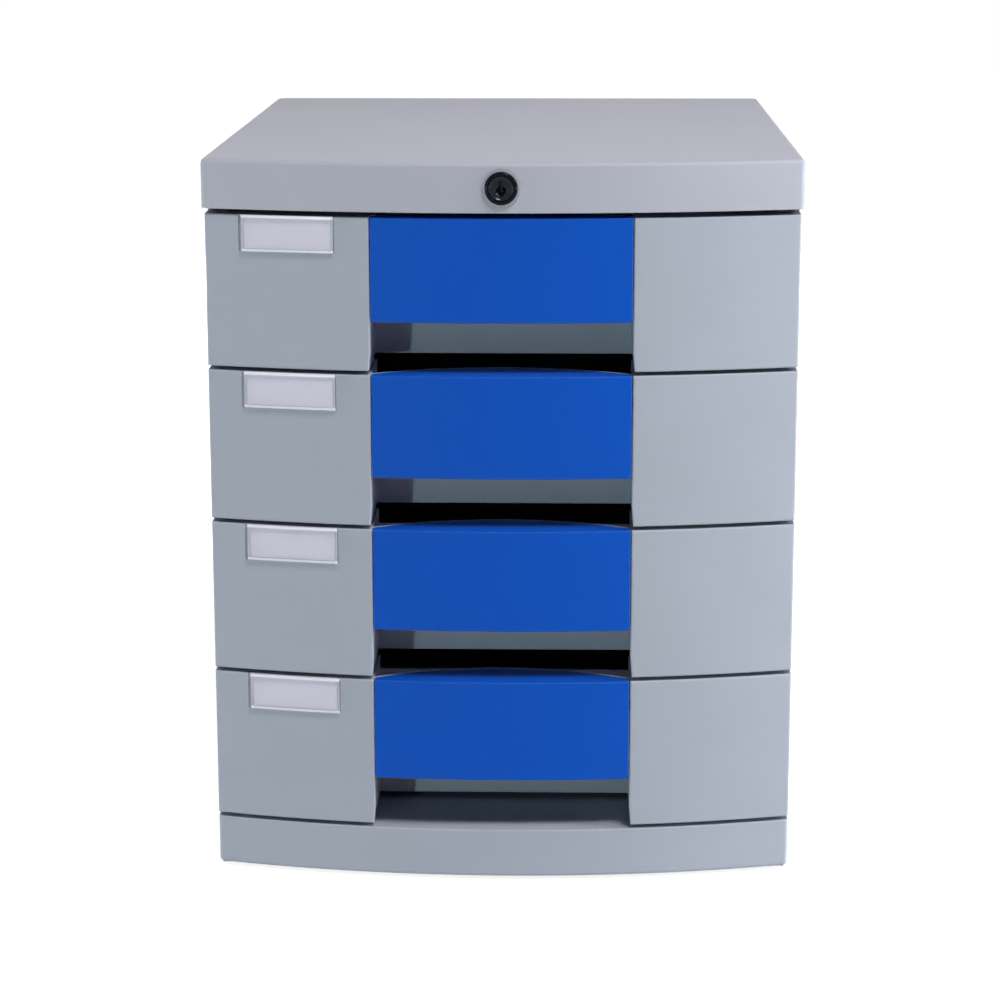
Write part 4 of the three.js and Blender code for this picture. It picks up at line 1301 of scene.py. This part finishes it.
class FILEDRAWER_OT_stage(bpy.types.Operator):
    """Sets up the pale floor, the soft studio lights, the white surroundings and the camera"""
    bl_idname = "file_drawer.stage"
    bl_label = "Stage"

    def floor(self):
        bpy.ops.object.select_all(action="DESELECT")
        bpy.ops.mesh.primitive_plane_add(size=FLOOR_SIZE, location=(0, 0, 0))
        floor = bpy.context.active_object
        floor.name = "studio_floor"
        made, tree, shader = start_material("Pale floor")
        tree.nodes.remove(shader)
        away = vector_maths(tree, "LENGTH", object_place(tree))["Value"]
        level = remap(tree, away, FLOOR_NEAR, FLOOR_FAR, FLOOR_UNDER, 1.0)
        glow = maths(tree, "MULTIPLY", seen_directly(tree), level)
        diffuse = node(tree, "ShaderNodeBsdfDiffuse", {"Color": (0.8, 0.8, 0.8, 1)})
        emission = node(tree, "ShaderNodeEmission", {"Strength": glow})
        both = node(tree, "ShaderNodeAddShader", {0: diffuse.outputs[0], 1: emission.outputs[0]})
        set_inputs(tree, tree.nodes["Material Output"], {"Surface": both.outputs[0]})
        floor.data.materials.append(made)

    def world(self):
        world = bpy.data.worlds.new("Studio")
        bpy.context.scene.world = world
        world.use_nodes = True
        tree = world.node_tree
        set_inputs(tree, tree.nodes["Background"], {"Color": (1, 1, 1, 1), "Strength": seen_directly(tree)})

    def camera(self):
        """Stands where the photograph was taken from."""
        yaw, pitch, roll = (math.radians(angle) for angle in CAMERA_TURN)
        ahead = Vector((math.sin(yaw) * math.cos(pitch), math.cos(yaw) * math.cos(pitch), -math.sin(pitch)))
        side = Vector((math.cos(yaw), -math.sin(yaw), 0))
        top = side.cross(ahead)
        right = side * math.cos(roll) + top * math.sin(roll)
        above = top * math.cos(roll) - side * math.sin(roll)
        bpy.ops.object.camera_add(location=CAMERA_PLACE)
        camera = bpy.context.active_object
        camera.name = "studio_camera"
        turned = [[a, b, c] for a, b, c in zip(right, above, -ahead)]
        camera.rotation_euler = Matrix(turned).to_euler()
        camera.data.sensor_width = CAMERA_SENSOR
        camera.data.lens = CAMERA_LENS
        bpy.context.scene.camera = camera

    def execute(self, context):
        power = sizes()
        side, high = power.side_light, power.high_light
        self.floor()
        self.world()
        self.camera()
        studio_lamp("side_light_right", 90, 0, SIDE_LAMP, side, FRESH)
        studio_lamp("side_light_left", -90, 0, SIDE_LAMP, side * LEFT_SHARE, WARM)
        studio_lamp("high_light_right", 80, 30, SIDE_LAMP, high, PLAIN)
        studio_lamp("high_light_left", -80, 30, SIDE_LAMP, high * LEFT_SHARE / 2, WARM)
        studio_lamp("front_light", 35, 60, FRONT_LAMP, power.front_light, ROSE)
        studio_lamp("low_light", -22.7, -1, LOW_LAMP, power.low_light, COOL)
        studio_lamp("rear_left_light", -165, 0, REAR_LAMP, power.rear_light, PLAIN)
        studio_lamp("rear_right_light", 165, 0, REAR_LAMP, power.rear_light, PLAIN)
        bpy.context.scene.view_settings.view_transform = "Standard"
        return {"FINISHED"}


class FILEDRAWER_PT_panel(bpy.types.Panel):
    """Lists the pieces of the file drawer in the order in which they are made"""
    bl_idname = "FILEDRAWER_PT_panel"
    bl_label = "File drawer"
    bl_space_type = "VIEW_3D"
    bl_region_type = "UI"
    bl_category = "File drawer"

    def draw(self, context):
        for settings in (sizes(), colours()):
            box = self.layout.box()
            for name in settings.bl_rna.properties.keys():
                if name not in ("rna_type", "name"):
                    box.prop(settings, name)
        for operator in OPERATORS:
            self.layout.operator(operator.bl_idname)


OPERATORS = (
    FILEDRAWER_OT_cover,
    FILEDRAWER_OT_base,
    FILEDRAWER_OT_panels,
    FILEDRAWER_OT_trays,
    FILEDRAWER_OT_fronts,
    FILEDRAWER_OT_handles,
    FILEDRAWER_OT_labels,
    FILEDRAWER_OT_lock,
    FILEDRAWER_OT_feet,
    FILEDRAWER_OT_fittings,
    FILEDRAWER_OT_stage,
)
CLASSES = (FileDrawerSizes, FileDrawerColours, *OPERATORS, FILEDRAWER_PT_panel)


def register():
    for each in CLASSES:
        bpy.utils.register_class(each)
    bpy.types.Scene.file_drawer_sizes = bpy.props.PointerProperty(type=FileDrawerSizes)
    bpy.types.Scene.file_drawer_colours = bpy.props.PointerProperty(type=FileDrawerColours)


def unregister():
    del bpy.types.Scene.file_drawer_colours
    del bpy.types.Scene.file_drawer_sizes
    for each in reversed(CLASSES):
        bpy.utils.unregister_class(each)


def main():
    register()
    bpy.ops.file_drawer.cover()
    bpy.ops.file_drawer.base()
    bpy.ops.file_drawer.panels()
    bpy.ops.file_drawer.trays()
    bpy.ops.file_drawer.fronts()
    bpy.ops.file_drawer.handles()
    bpy.ops.file_drawer.labels()
    bpy.ops.file_drawer.lock()
    bpy.ops.file_drawer.feet()
    bpy.ops.file_drawer.fittings()
    bpy.ops.file_drawer.stage()


if __name__ == "__main__":
    main()
